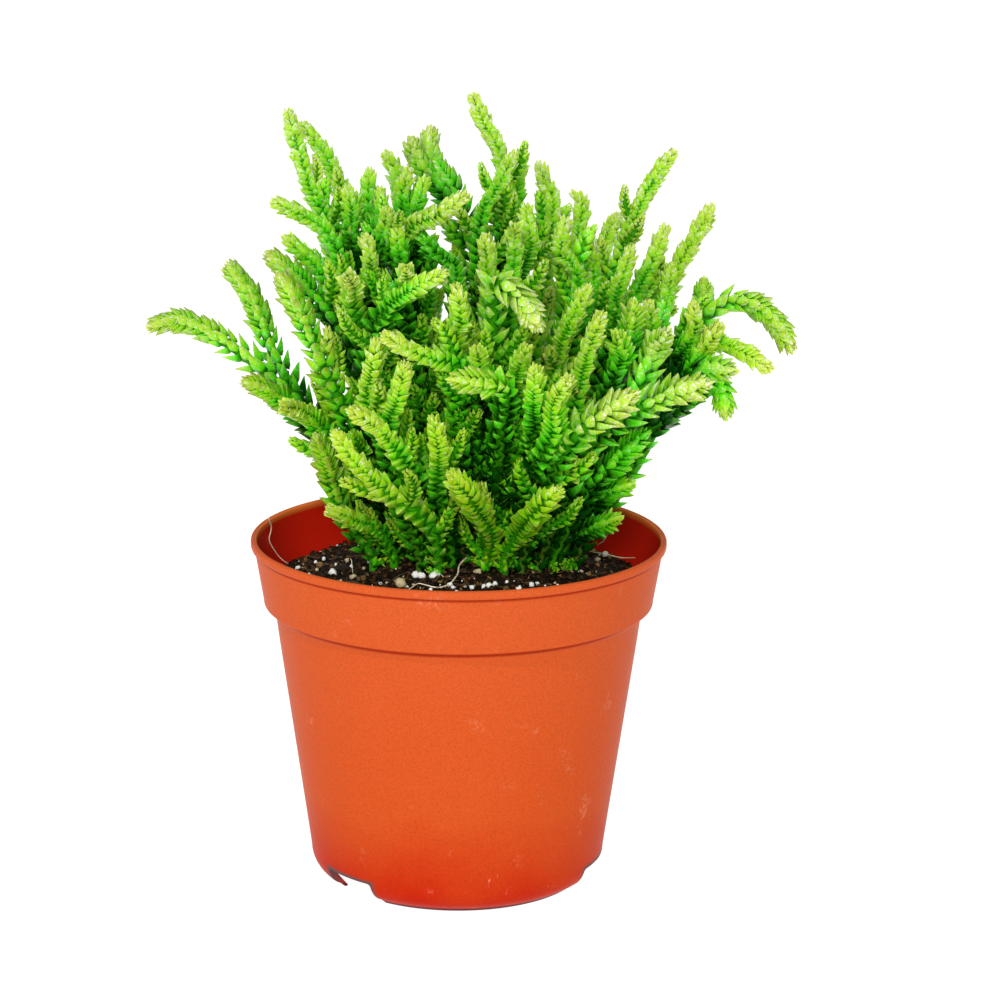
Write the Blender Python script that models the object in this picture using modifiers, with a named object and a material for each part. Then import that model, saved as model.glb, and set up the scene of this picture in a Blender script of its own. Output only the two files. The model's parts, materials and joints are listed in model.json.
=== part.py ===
"""Potted crassula: a watch-chain plant in a thin plastic nursery pot.

The pot stands on its flat base. Potting mix fills it to below the rim, and a fan of
four-angled leafy stems grows out of the middle of the mix. Each stem is one closed body:
a tapering four-sided core as thick as the stem with its leaf bases, with its side shoots
grown into it. Sizes are in millimetres until they reach Blender, which works in metres.
"""
import math

import bmesh
import bpy
import numpy as np
from mathutils import Matrix, Vector, kdtree

MM = 0.001
OBJECT_NAME = "potted_crassula"
CLEARANCE = 0.3

# Pot: a lip, a wide band under it, a step in, and a body that tapers to a rounded heel.
RIM_RADIUS = 52.5
POT_HEIGHT = 88.5
WALL = 1.0
FLOOR = 1.6
LIP_DEPTH = 2.2
LIP_ROUND = 0.7
LIP_INNER_RADIUS = 51.0
BAND_TOP_RADIUS = 51.6
BAND_FOOT_RADIUS = 49.3
BAND_FOOT_Z = 72.75
BODY_TOP_RADIUS = 46.35
BODY_TOP_Z = 69.3
HEEL_RADIUS = 37.55
HEEL_Z = 7.5
HEEL_LIFT = 1.2
HEEL_ANGLES = (0.0, 25.0, 50.0, 75.0)
BASE_RADIUS = 32.5
BASE_EDGE = 0.6
BASE_EDGE_RISE = 0.3
ARC_STEPS = 4
TURN_STEPS = 48

# Short steps of the section, each as how far out and how far up it is from an edge named above.
LIP_FOOT_STEPS = ((0.0, 0.5), (-0.3, 0.0), (BAND_TOP_RADIUS - RIM_RADIUS, -0.4))
BAND_FOOT_STEPS = ((0.0, 0.0), (-0.3, -0.8), (-1.5, -1.6))
BODY_TOP_STEPS = ((0.0, 0.0), (-0.4, -3.0))
INNER_BODY_STEP = (0.0, -0.6)
INNER_BAND_STEPS = ((-0.9, -0.6), (0.0, 1.2))
INNER_LIP_INSET = 0.1
INNER_HEEL_INSET = 1.6
INNER_HEEL_RISE = 1.0
FLOOR_CORNER = 4.0
FLOOR_CORNER_MIDDLE = (-0.7, 1.3)
FLOOR_CORNER_TOP = 0.6

# Drainage notches through the heel of the pot, as angles from the front towards +X.
NOTCH_ANGLES = (-48.0, 72.0, 192.0)
NOTCH_WIDTH = 16.0
NOTCH_HEIGHT = 6.2
NOTCH_DEPTH = 12.0
NOTCH_BITE = 2.2

# Potting mix: level at the wall, and a low mound where the root ball is.
SOIL_WALL_LEVEL = 76.0
SOIL_CROWN_LEVEL = 81.5
SOIL_RINGS = 8

# Stems: radii of the core, and how far apart the stems have to grow.
TIP_RADIUS = 0.8
CLUB_RADIUS = 1.8
CLUB_LENGTH = 7.0
CLUB_FULLNESS = 0.6
FOOT_RADIUS = 1.2
CLUB_END = 35.0
FOOT_LENGTH = 75.0
ROOT_FOCUS = Vector((4.0, 17.0, 28.0))
FOOT_RISE = 2.5
FOOT_GAP = 0.5
FOOT_ROUNDS = 4
PATH_STEP = 3.0
CURVE_STEPS = 16
BOW_TOLERANCE = 0.3
JOIN_DROP = 13.0
JOIN_FREE_SAMPLES = 5
STEM_GAP = 1.2
SPREAD_ROUNDS = 120
SPREAD_SHARE = Vector((0.3, 0.9, 0.35))
BOW_REACH = 3
OWN_SHARE = 0.35
NEAR_SHARE = 0.85

# Root threads that lie on the mix. Each has its own points: two along the ground, and how
# high it arches over the mix there.
THREAD_RADIUS = 0.25

# Where each stem grows. A stem is a list of shoots and a shoot is a list of points on its
# way up, ending at its tip. The first shoot rises from the mix, and the others branch off it.
STEMS = {
    "left_tall": [
        [(-26, 11, 139), (-31, 10, 162), (-38, 10, 177), (-43, 10, 194)],
        [(-28, 21, 165), (-33, 24, 179), (-40, 25, 189)],
    ],
    "left_upper": [
        [(-26, 8, 147), (-32, 5, 164), (-40, 3, 170), (-46, 2, 173)],
        [(-28, 0, 146), (-35, -2, 157), (-43, -4, 165)],
    ],
    "left_fan": [[(-23, 0, 124), (-30, -4, 143), (-39, -8, 155), (-47, -10, 162)]],
    "left_ragged": [[(-26, -6, 117), (-32, -12, 131), (-39, -16, 149), (-44, -16, 158)]],
    "left_arch": [
        [(-36, 0, 117), (-47, 0, 129), (-59, 2, 138), (-69, 2, 143), (-77, 0, 142)],
        [(-46, 7, 132), (-52, 9, 147), (-58, 9, 156)],
        [(-47, -7, 127), (-53, -9, 130)],
    ],
    "left_rosette": [[(-33, -6, 115), (-39, -12, 123), (-43, -19, 126)]],
    "left_low": [[(-27, -5, 92), (-31, -10, 103), (-33, -15, 112), (-35, -18, 118)]],
    "left_foot": [[(-20, -6, 91), (-27, -12, 96), (-32, -15, 99)]],
    "crown_left": [
        [(-27, 8, 155), (-27, 6, 169), (-28, 5, 176)],
        [(-22, -10, 157), (-23, -13, 167)],
    ],
    "crown_pair": [
        [(-21, 14, 149), (-23, 18, 169), (-23, 20, 178)],
        [(-20, 9, 156), (-20, 9, 166), (-20, 8, 175)],
    ],
    "crown_back": [[(-14, 26, 157), (-16, 28, 174), (-19, 29, 181)]],
    "crown_fork": [
        [(4, 18, 150), (0, 18, 169), (-3, 18, 175), (-8, 19, 181), (-8, 22, 188)],
        [(-9, 18, 180), (-11, 17, 183), (-12, 16, 187)],
    ],
    "crown_middle": [
        [(-13, 10, 158), (-14, 9, 173), (-13, 8, 180)],
        [(-11, 8, 172), (-9, 8, 178)],
        [(-11, 1, 162), (-10, -2, 170)],
    ],
    "crown_bright": [[(-15, -3, 154), (-12, -9, 168), (-5, -14, 173), (1, -16, 178)]],
    "crown_low": [
        [(-14, -9, 158), (-15, -12, 170)],
        [(-18, -2, 162), (-18, -4, 172)],
    ],
    "rosette_left": [[(-25, -11, 145), (-26, -19, 155), (-27, -27, 160)]],
    "rosette_middle": [[(-14, -13, 147), (-13, -20, 156), (-13, -28, 162)]],
    "centre_left": [[(-1, -4, 152), (-6, -8, 162), (-10, -10, 167)]],
    "centre_arch": [[(-20, -12, 137), (-17, -20, 151), (-11, -26, 157), (-4, -28, 161)]],
    "top_tall": [[(11, 12, 166), (10, 12, 183), (6, 12, 191), (3, 12, 198)]],
    "top_bent": [[(5, 9, 150), (5, 8, 167), (10, 5, 178), (13, 3, 185)]],
    "top_pair": [
        [(13, 16, 163), (14, 15, 174), (15, 15, 180)],
        [(17, 0, 162), (16, -2, 173)],
    ],
    "top_right": [[(23, 25, 161), (22, 26, 172), (20, 26, 179)]],
    "top_back": [[(30, 34, 159), (29, 36, 170)]],
    "middle_high": [[(13, -9, 158), (13, -14, 170)]],
    "middle_left": [[(7, -12, 150), (6, -18, 168)]],
    "middle_front": [[(-1, -22, 140), (0, -28, 150), (-1, -30, 158)]],
    "middle_braid": [[(8, -20, 149), (9, -27, 158), (14, -32, 156), (19, -34, 149)]],
    "right_tall": [
        [(37, 14, 147), (42, 14, 163), (47, 14, 175), (53, 14, 184)],
        [(36, 25, 156), (40, 27, 166)],
    ],
    "right_upper": [
        [(38, 6, 137), (44, 5, 150), (48, 4, 159), (51, 4, 167)],
        [(39, -2, 151), (42, -4, 163)],
    ],
    "right_fan": [[(47, 14, 137), (53, 15, 151), (59, 16, 162), (63, 16, 170)]],
    "right_inner": [
        [(29, 4, 148), (25, 2, 161), (26, 2, 169)],
        [(33, 9, 152), (32, 8, 162)],
    ],
    "right_front_high": [[(24, -13, 136), (27, -18, 147), (31, -20, 156)]],
    "right_front_long": [[(28, -22, 128), (31, -29, 143), (34, -33, 152)]],
    "right_twin": [
        [(45, -8, 131), (47, -11, 141), (46, -14, 151)],
        [(51, -1, 149), (52, -2, 158)],
    ],
    "right_arch": [
        [(53, 3, 132), (63, 2, 147), (71, 0, 149), (78, -3, 145), (82, -5, 138)],
        [(60, 5, 145), (61, 5, 153)],
    ],
    "right_thick": [
        [(50, -5, 134), (59, -9, 141), (69, -12, 139), (76, -14, 135)],
        [(57, -13, 143), (57, -15, 151)],
    ],
    "right_low": [
        [(53, -14, 129), (60, -19, 135), (67, -22, 136)],
        [(59, -17, 139), (63, -20, 147)],
        [(62, -19, 133), (65, -21, 125)],
    ],
    "right_pale": [
        [(31, -16, 114), (40, -25, 125), (51, -30, 132), (60, -31, 135)],
        [(46, -23, 139), (50, -27, 147)],
    ],
    "right_pale_front": [[(22, -21, 110), (27, -31, 121), (34, -37, 128), (42, -39, 134)]],
    "right_notch": [
        [(38, -20, 134), (38, -26, 146)],
        [(41, -18, 142), (42, -22, 153)],
    ],
    "right_side": [[(31, -8, 101), (38, -14, 111), (46, -16, 119)]],
    "right_foot": [
        [(31, -3, 95), (37, -7, 102), (43, -9, 105)],
        [(35, -7, 93), (40, -10, 96)],
    ],
    "front_left": [
        [(-17, -23, 119), (-15, -32, 131), (-13, -36, 140)],
        [(-22, -25, 129), (-21, -30, 138), (-20, -32, 145)],
    ],
    "front_branch": [[(4, -18, 127), (-1, -27, 138), (-10, -32, 142), (-18, -34, 147)]],
    "front_arch": [[(10, -10, 103), (10, -22, 119), (11, -34, 133), (5, -40, 137), (-2, -42, 138)]],
    "front_bright": [[(-13, -19, 110), (-19, -32, 123), (-26, -36, 129)]],
    "front_long": [[(-7, -16, 96), (-18, -27, 107), (-25, -31, 115), (-30, -31, 122)]],
    "front_upright": [[(-5, -17, 104), (-5, -28, 117), (-6, -32, 126)]],
    "front_low_left": [[(8, -12, 92), (3, -25, 104), (-2, -30, 112)]],
    "front_low_right": [[(13, -9, 89), (19, -26, 102), (24, -30, 108)]],
    "front_twin": [
        [(14, -17, 124), (14, -28, 137), (16, -34, 144)],
        [(6, -25, 135), (4, -31, 143)],
    ],
    "front_right": [
        [(18, -20, 116), (18, -34, 131), (18, -38, 140)],
        [(23, -30, 120), (23, -37, 131), (26, -41, 138)],
    ],
    "back_left": [
        [(-24, 26, 120), (-33, 34, 146)],
        [(-22, 38, 108), (-29, 46, 120)],
        [(-20, 38, 126), (-25, 48, 139)],
    ],
    "back_middle": [
        [(-6, 34, 122), (-9, 45, 152)],
        [(-10, 46, 114), (-14, 57, 122), (-17, 61, 119)],
        [(2, 42, 132), (4, 51, 142)],
        [(-14, 38, 134), (-18, 44, 148)],
    ],
    "back_centre": [
        [(8, 36, 124), (10, 46, 156)],
        [(8, 48, 110), (10, 60, 122), (11, 67, 120)],
        [(14, 46, 134), (18, 54, 144)],
    ],
    "back_right": [
        [(22, 30, 122), (30, 41, 150)],
        [(27, 42, 108), (34, 53, 118), (39, 57, 116)],
        [(34, 34, 126), (43, 39, 137)],
        [(22, 48, 118), (26, 58, 128)],
    ],
}

# Root threads: points over the mix, given across and back, from end to end.
THREADS = {
    "front": [
        (2.1, -6.0, 3.2), (0.2, -9.5, 2.2), (-0.2, -13.5, 1.4), (-0.9, -16.8, 1.3),
        (-2.1, -20.8, 1.3), (-3.9, -23.0, 1.3), (-5.8, -23.2, 1.3), (-8.3, -21.6, 1.4),
        (-10.1, -20.8, 1.5), (-11.5, -22.4, 1.2), (-13.4, -24.0, 0.8),
    ],
}


def clear_scene():
    """Remove every object that is already in the file."""
    for old in list(bpy.data.objects):
        bpy.data.objects.remove(old, do_unlink=True)


def make_collection(name):
    """Return a new collection linked to the scene."""
    collection = bpy.data.collections.new(name)
    bpy.context.scene.collection.children.link(collection)
    return collection


def make_material(name, color, roughness):
    """Return a plain Principled material."""
    material = bpy.data.materials.new(name)
    material.use_nodes = True
    shader = material.node_tree.nodes["Principled BSDF"]
    shader.inputs["Base Color"].default_value = (*color, 1.0)
    shader.inputs["Roughness"].default_value = roughness
    shader.inputs["Metallic"].default_value = 0.0
    return material


def pot_material():
    """Terracotta-coloured polypropylene."""
    return make_material("terracotta_plastic", (0.78, 0.12, 0.03), 0.42)


def soil_material():
    """Damp dark peat."""
    return make_material("peat_mix", (0.03, 0.018, 0.012), 0.95)


def leaf_material():
    """Fleshy green leaves."""
    return make_material("succulent_leaf", (0.17, 0.42, 0.02), 0.45)


def thread_material():
    """Dry, pale root."""
    return make_material("pale_root", (0.62, 0.55, 0.40), 0.7)


def link_mesh_object(name, mesh, material, collection):
    """Put a mesh in the scene as an object of its own."""
    obj = bpy.data.objects.new(name, mesh)
    obj.data.materials.append(material)
    collection.objects.link(obj)
    return obj


def arc_points(centre, radius, start, stop, steps):
    """Points on an arc, with angles in degrees from the +X direction towards +Z."""
    angles = np.radians(np.linspace(start, stop, steps + 1))
    return [(centre[0] + radius * math.cos(a), centre[1] + radius * math.sin(a)) for a in angles]


def turned_mesh(name, profile):
    """Mesh of a profile's edges, in millimetres, ready for a Screw modifier."""
    verts = [(radius * MM, 0.0, height * MM) for radius, height in profile]
    edges = [(i, i + 1) for i in range(len(verts) - 1)]
    mesh = bpy.data.meshes.new(name)
    mesh.from_pydata(verts, edges, [])
    return mesh


def add_screw(obj):
    """Turn the profile all the way round the upright axis."""
    screw = obj.modifiers.new("turn", "SCREW")
    screw.axis = "Z"
    screw.steps = TURN_STEPS
    screw.render_steps = TURN_STEPS
    screw.use_merge_vertices = True
    screw.merge_threshold = 0.00001
    screw.use_smooth_shade = True


def stepped(radius, height, steps):
    """Points that stand off a place by each of the steps."""
    return [(radius + out, height + up) for out, up in steps]


def inner_wall_profile(offset):
    """Inside of the pot wall from the floor corner up to the band, moved in by offset."""
    inset = WALL + offset
    heel = HEEL_RADIUS - inset
    floor = FLOOR + offset
    base = heel - INNER_HEEL_INSET
    corner = [
        (base - FLOOR_CORNER, floor),
        *stepped(base, floor, [FLOOR_CORNER_MIDDLE, (FLOOR_CORNER_TOP, FLOOR_CORNER)]),
        (heel, HEEL_Z + INNER_HEEL_RISE),
    ]
    body = stepped(BODY_TOP_RADIUS - inset, BODY_TOP_Z, [INNER_BODY_STEP])
    return corner + body + stepped(BAND_FOOT_RADIUS - inset, BAND_FOOT_Z, INNER_BAND_STEPS)


def pot_profile():
    """Whole section of the pot: up the inside, over the lip and down the outside."""
    lip_z = POT_HEIGHT - LIP_ROUND
    lip_foot_z = POT_HEIGHT - LIP_DEPTH
    inside = [(0.0, FLOOR)] + inner_wall_profile(0.0)
    inside.append((LIP_INNER_RADIUS - INNER_LIP_INSET, lip_foot_z))
    inner_corner = arc_points((LIP_INNER_RADIUS + LIP_ROUND, lip_z), LIP_ROUND, 180, 90, ARC_STEPS)
    outer_corner = arc_points((RIM_RADIUS - LIP_ROUND, lip_z), LIP_ROUND, 90, 0, ARC_STEPS)
    band = stepped(RIM_RADIUS, lip_foot_z, LIP_FOOT_STEPS)
    band += stepped(BAND_FOOT_RADIUS, BAND_FOOT_Z, BAND_FOOT_STEPS)
    body = stepped(BODY_TOP_RADIUS, BODY_TOP_Z, BODY_TOP_STEPS)
    heel_rise = HEEL_Z - HEEL_LIFT
    heel_run = HEEL_RADIUS - BASE_RADIUS
    heel = [
        (BASE_RADIUS + heel_run * math.cos(a), HEEL_Z - heel_rise * math.sin(a))
        for a in np.radians(HEEL_ANGLES)
    ]
    base = [(BASE_RADIUS, BASE_EDGE_RISE), (BASE_RADIUS - BASE_EDGE, 0.0), (0.0, 0.0)]
    return inside + inner_corner + outer_corner + band + body + heel + base


def notch_cutter(angle, guides):
    """Box that cuts one drainage notch through the heel of the pot."""
    bm = bmesh.new()
    bmesh.ops.create_cube(bm, size=1.0)
    mesh = bpy.data.meshes.new("notch_cutter")
    bm.to_mesh(mesh)
    bm.free()
    size = (NOTCH_WIDTH * MM, NOTCH_DEPTH * MM, 2 * NOTCH_HEIGHT * MM)
    mesh.transform(Matrix.Diagonal((*size, 1.0)))
    cutter = bpy.data.objects.new("notch_cutter", mesh)
    reach = BASE_RADIUS + NOTCH_DEPTH / 2 - NOTCH_BITE
    turn = math.radians(angle)
    cutter.location = (reach * math.sin(turn) * MM, -reach * math.cos(turn) * MM, 0.0)
    cutter.rotation_euler = (0.0, 0.0, turn)
    cutter.hide_render = True
    cutter.display_type = "WIRE"
    guides.objects.link(cutter)
    return cutter


def make_pot(collection, guides):
    """Pot with its drainage notches."""
    mesh = turned_mesh("pot", pot_profile())
    pot = link_mesh_object("pot", mesh, pot_material(), collection)
    add_screw(pot)
    for angle in NOTCH_ANGLES:
        cut = pot.modifiers.new("notch", "BOOLEAN")
        cut.operation = "DIFFERENCE"
        cut.solver = "EXACT"
        cut.object = notch_cutter(angle, guides)
    return pot


def soil_edge_radius():
    """Radius of the mix where it meets the wall at its top."""
    foot_radius = BAND_FOOT_RADIUS - WALL
    rise = (SOIL_WALL_LEVEL - BAND_FOOT_Z) / (POT_HEIGHT - LIP_DEPTH - BAND_FOOT_Z)
    return foot_radius + rise * (LIP_INNER_RADIUS - foot_radius) - 2 * CLEARANCE


def soil_height(x, y):
    """Height of the mix at a place, in millimetres."""
    share = min(1.0, math.hypot(x, y) / soil_edge_radius())
    return SOIL_WALL_LEVEL + (SOIL_CROWN_LEVEL - SOIL_WALL_LEVEL) * (1.0 - share ** 2)


def make_soil(collection):
    """Potting mix: it fills the pot to below the rim and stands a little proud in the middle."""
    edge = soil_edge_radius()
    radii = np.linspace(0.0, edge, SOIL_RINGS + 1)
    top = [(radius, soil_height(radius, 0.0)) for radius in radii]
    side = list(reversed(inner_wall_profile(CLEARANCE)))[1:]
    profile = top + side + [(0.0, FLOOR + CLEARANCE)]
    mesh = turned_mesh("potting_mix", profile)
    soil = link_mesh_object("potting_mix", mesh, soil_material(), collection)
    add_screw(soil)
    return soil


def smooth_path(points, step):
    """Catmull-Rom curve through the points, sampled about every step."""
    knots = [Vector(p) for p in points]
    first = knots[0] * 2 - knots[1]
    last = knots[-1] * 2 - knots[-2]
    knots = [first] + knots + [last]
    dense = []
    for a, b, c, d in zip(knots, knots[1:], knots[2:], knots[3:]):
        for t in np.linspace(0.0, 1.0, CURVE_STEPS, endpoint=False):
            dense.append(0.5 * (2 * b + (c - a) * t + (2 * a - 5 * b + 4 * c - d) * t ** 2
                                + (3 * b - a - 3 * c + d) * t ** 3))
    dense.append(knots[-2])
    lengths = [0.0]
    for a, b in zip(dense, dense[1:]):
        lengths.append(lengths[-1] + (b - a).length)
    count = max(3, round(lengths[-1] / step) + 1)
    wanted = np.linspace(0.0, lengths[-1], count)
    coords = np.array([tuple(p) for p in dense])
    return [Vector([np.interp(w, lengths, coords[:, k]) for k in range(3)]) for w in wanted]


def foot_point(low):
    """Where a stem leaves the mix: on the line from its lowest point to the root ball."""
    point = Vector(low)
    for _ in range(FOOT_ROUNDS):
        height = soil_height(point.x, point.y) + FOOT_GAP
        share = (height - ROOT_FOCUS.z) / (low[2] - ROOT_FOCUS.z)
        point = ROOT_FOCUS.lerp(Vector(low), share)
    return point


def grow_paths():
    """Sampled path of every shoot, as records with its stem, its parent and its samples."""
    shoots = []
    for stem, branches in STEMS.items():
        foot = foot_point(branches[0][0])
        rise = foot + Vector((0.0, 0.0, FOOT_RISE))
        main = smooth_path([rise] + branches[0], PATH_STEP)
        shoots.append({"stem": stem, "join": None, "path": [foot] + main})
        parent = len(shoots) - 1
        for points in branches[1:]:
            drop = points[0][2] - JOIN_DROP
            join = min(range(2, len(main)), key=lambda i: abs(main[i].z - drop))
            path = smooth_path([main[join]] + points, PATH_STEP)
            shoots.append({"stem": stem, "join": (parent, join + 1), "path": path})
    return shoots


def core_radius(from_tip):
    """Radius of a shoot's core at a distance from its tip."""
    club = TIP_RADIUS + (CLUB_RADIUS - TIP_RADIUS) * min(1.0, from_tip / CLUB_LENGTH) ** CLUB_FULLNESS
    thin = min(1.0, max(0.0, (from_tip - CLUB_END) / (FOOT_LENGTH - CLUB_END)))
    return club + (FOOT_RADIUS - CLUB_RADIUS) * thin


def path_radii(path):
    """Core radius at each sample of a path, counted back from the tip."""
    radii = []
    length = 0.0
    for i in range(len(path) - 1, -1, -1):
        if i < len(path) - 1:
            length += (path[i + 1] - path[i]).length
        radii.append(core_radius(length))
    return radii[::-1]


def index_samples(shoots):
    """All samples in one search tree, with the shoot and the place that each belongs to."""
    owners = [(s, i) for s, shoot in enumerate(shoots) for i in range(len(shoot["path"]))]
    tree = kdtree.KDTree(len(owners))
    for number, (s, i) in enumerate(owners):
        tree.insert(shoots[s]["path"][i], number)
    tree.balance()
    return owners, tree


def may_touch(shoots, one, other):
    """True where two samples lie at the fork that joins their shoots, or on one shoot."""
    if one[0] == other[0]:
        return True
    for side, near in ((one, other), (other, one)):
        join = shoots[side[0]]["join"]
        if join is not None and join[0] == near[0] and side[1] < JOIN_FREE_SAMPLES:
            return True
    siblings = shoots[one[0]]["join"], shoots[other[0]]["join"]
    if None not in siblings and siblings[0][0] == siblings[1][0]:
        return one[1] < JOIN_FREE_SAMPLES and other[1] < JOIN_FREE_SAMPLES
    return False


def smooth_moves(moves):
    """Share each sample's move with its neighbours, so that a shoot bends in a soft bow."""
    result = []
    for i in range(len(moves)):
        low, high = max(0, i - BOW_REACH), min(len(moves), i + BOW_REACH + 1)
        near = moves[low:high]
        mean = sum(near, Vector()) / len(near)
        result.append(moves[i] * OWN_SHARE + mean * NEAR_SHARE)
    return result


def spread_apart(shoots):
    """Push crowded shoots off each other until their cores clear, as growing stems do."""
    radii = [path_radii(shoot["path"]) for shoot in shoots]
    reach = 2 * CLUB_RADIUS + STEM_GAP
    for _ in range(SPREAD_ROUNDS):
        owners, tree = index_samples(shoots)
        moves = [[Vector() for _ in shoot["path"]] for shoot in shoots]
        crowded = 0
        for s, i in owners:
            here = shoots[s]["path"][i]
            for there, number, distance in tree.find_range(here, reach):
                other = owners[number]
                need = radii[s][i] + radii[other[0]][other[1]] + STEM_GAP
                if distance >= need or may_touch(shoots, (s, i), other):
                    continue
                away = here - there
                if away.length < 1e-6:
                    away = Vector((0.0, -1.0 if s < other[0] else 1.0, 0.0))
                away = away.normalized() * (need - distance)
                moves[s][i] += Vector(a * b for a, b in zip(away, SPREAD_SHARE))
                crowded += 1
        if not crowded:
            break
        for shoot, shift in zip(shoots, moves):
            shift = smooth_moves(shift)
            for i, move in enumerate(shift):
                shoot["path"][i] += move
            settle_ends(shoots, shoot)
    return radii


def settle_ends(shoots, shoot):
    """Keep a stem's foot upright on the mix, and a side shoot's first sample on its parent."""
    path = shoot["path"]
    if shoot["join"] is None:
        foot = path[0]
        foot.z = soil_height(foot.x, foot.y) + FOOT_GAP
        path[1] = foot + Vector((0.0, 0.0, FOOT_RISE))
    else:
        parent, sample = shoot["join"]
        path[0] = shoots[parent]["path"][sample].copy()


def tube_object(name, path, radii, material, collection):
    """Four-sided tapering tube along a path, as a closed mesh object."""
    curve = bpy.data.curves.new(name, "CURVE")
    curve.dimensions = "3D"
    curve.bevel_depth = MM
    curve.bevel_resolution = 0
    curve.use_fill_caps = True
    spline = curve.splines.new("POLY")
    spline.points.add(len(path) - 1)
    for point, place, radius in zip(spline.points, path, radii):
        point.co = (*(place * MM), 1.0)
        point.radius = radius
    guide = bpy.data.objects.new(name, curve)
    collection.objects.link(guide)
    bpy.context.view_layer.update()
    graph = bpy.context.evaluated_depsgraph_get()
    mesh = bpy.data.meshes.new_from_object(guide.evaluated_get(graph))
    bpy.data.objects.remove(guide, do_unlink=True)
    bm = bmesh.new()
    bm.from_mesh(mesh)
    bmesh.ops.remove_doubles(bm, verts=bm.verts, dist=0.000001)
    bmesh.ops.recalc_face_normals(bm, faces=bm.faces)
    bm.to_mesh(mesh)
    bm.free()
    mesh.materials.clear()
    return link_mesh_object(name, mesh, material, collection)


def chord_error(path, radii, low, high):
    """Farthest that the samples between two others stray from the straight run between them."""
    worst = 0.0
    for i in range(low + 1, high):
        share = (i - low) / (high - low)
        bow = (path[low].lerp(path[high], share) - path[i]).length
        swell = abs(radii[low] + (radii[high] - radii[low]) * share - radii[i])
        worst = max(worst, bow, swell)
    return worst


def thin_out(path, radii):
    """The samples that a path needs to keep its bow and its thickness, with both ends."""
    keep = [0]
    while keep[-1] < len(path) - 1:
        reach = keep[-1] + 1
        while reach < len(path) - 1 and chord_error(path, radii, keep[-1], reach + 1) < BOW_TOLERANCE:
            reach += 1
        keep.append(reach)
    return [path[i] for i in keep], [radii[i] for i in keep]


def make_stems(collection, guides):
    """One object for each stem, with its side shoots grown into it."""
    shoots = grow_paths()
    radii = spread_apart(shoots)
    material = leaf_material()
    for number, shoot in enumerate(shoots):
        if shoot["join"] is not None:
            continue
        name = "stem_" + shoot["stem"]
        stem = tube_object(name, *thin_out(shoot["path"], radii[number]), material, collection)
        for side, branch in enumerate(shoots):
            if branch["join"] is None or branch["join"][0] != number:
                continue
            tube = tube_object(name + "_side", *thin_out(branch["path"], radii[side]),
                               material, guides)
            tube.hide_render = True
            tube.display_type = "WIRE"
            union = stem.modifiers.new("side_shoot", "BOOLEAN")
            union.operation = "UNION"
            union.solver = "EXACT"
            union.object = tube


def make_threads(collection):
    """Loose root threads that lie on the mix."""
    material = thread_material()
    for name, places in THREADS.items():
        points = [(x, y, soil_height(x, y) + lift) for x, y, lift in places]
        path = smooth_path(points, PATH_STEP)
        radii = [THREAD_RADIUS] * len(path)
        tube_object("root_thread_" + name, path, radii, material, collection)


def main():
    """Build the potted plant."""
    clear_scene()
    collection = make_collection(OBJECT_NAME)
    guides = make_collection("cutters")
    make_pot(collection, guides)
    make_soil(collection)
    make_stems(collection, guides)
    make_threads(collection)


main()
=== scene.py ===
"""Looks of a potted crassula: a clump of four-angled leafy stems in a thin plastic nursery pot.

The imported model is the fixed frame. Every piece here is built in its coordinates: the pot and the
potting mix are turned again at a finer step, each stem gets its leaves in four rows along the same
path as its plain core, and the litter that lies on the mix is added.
"""
import json
import logging
import math
import random
from dataclasses import dataclass, field
from enum import Enum

import bmesh
import bpy
import numpy as np
from bpy.types import Camera, Collection, Light, Material, Mesh, Node, NodeSocket, NodeTree, Object
from mathutils import Euler, Matrix, Vector, kdtree, noise

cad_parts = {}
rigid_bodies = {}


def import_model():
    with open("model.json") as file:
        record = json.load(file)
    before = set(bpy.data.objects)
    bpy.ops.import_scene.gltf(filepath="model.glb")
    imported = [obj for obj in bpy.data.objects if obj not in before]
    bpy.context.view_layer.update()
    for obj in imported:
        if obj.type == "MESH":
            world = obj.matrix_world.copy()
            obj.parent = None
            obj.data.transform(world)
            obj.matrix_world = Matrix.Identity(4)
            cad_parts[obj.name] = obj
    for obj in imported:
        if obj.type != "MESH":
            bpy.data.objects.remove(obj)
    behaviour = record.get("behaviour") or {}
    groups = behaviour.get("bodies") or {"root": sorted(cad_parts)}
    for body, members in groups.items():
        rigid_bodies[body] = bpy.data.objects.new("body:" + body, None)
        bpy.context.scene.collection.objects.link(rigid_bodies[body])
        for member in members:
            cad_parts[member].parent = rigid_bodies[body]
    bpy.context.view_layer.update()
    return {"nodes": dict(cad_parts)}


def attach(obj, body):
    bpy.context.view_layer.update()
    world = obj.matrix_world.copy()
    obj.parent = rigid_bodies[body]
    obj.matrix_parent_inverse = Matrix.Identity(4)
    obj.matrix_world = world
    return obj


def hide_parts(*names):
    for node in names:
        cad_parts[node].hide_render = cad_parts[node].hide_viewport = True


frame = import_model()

MM = 0.001
# Gap between the potting mix and the pot, in millimetres.
CLEARANCE = 0.3
UP = Vector((0.0, 0.0, 1.0))
WHITE = (1.0, 1.0, 1.0, 1.0)
# Kinds of node, and settings of them, that many finishes use.
MATH, VECTOR_MATH, MIX, RAMP = "ShaderNodeMath", "ShaderNodeVectorMath", "ShaderNodeMix", "ShaderNodeValToRGB"
PLUS, TIMES, TIMES_PLUS = ({"operation": name} for name in ("ADD", "MULTIPLY", "MULTIPLY_ADD"))
BLEND = {"output": 2, "data_type": "RGBA"}
TINT = BLEND | {"blend_type": "MULTIPLY"}
LOG = logging.getLogger("potted_crassula")


# ---------------------------------------------------------------------------------------------
# Numbers and paths
# ---------------------------------------------------------------------------------------------
def clamp(value: float) -> float:
    """Keep a number between 0 and 1."""
    return min(1.0, max(0.0, value))


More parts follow.
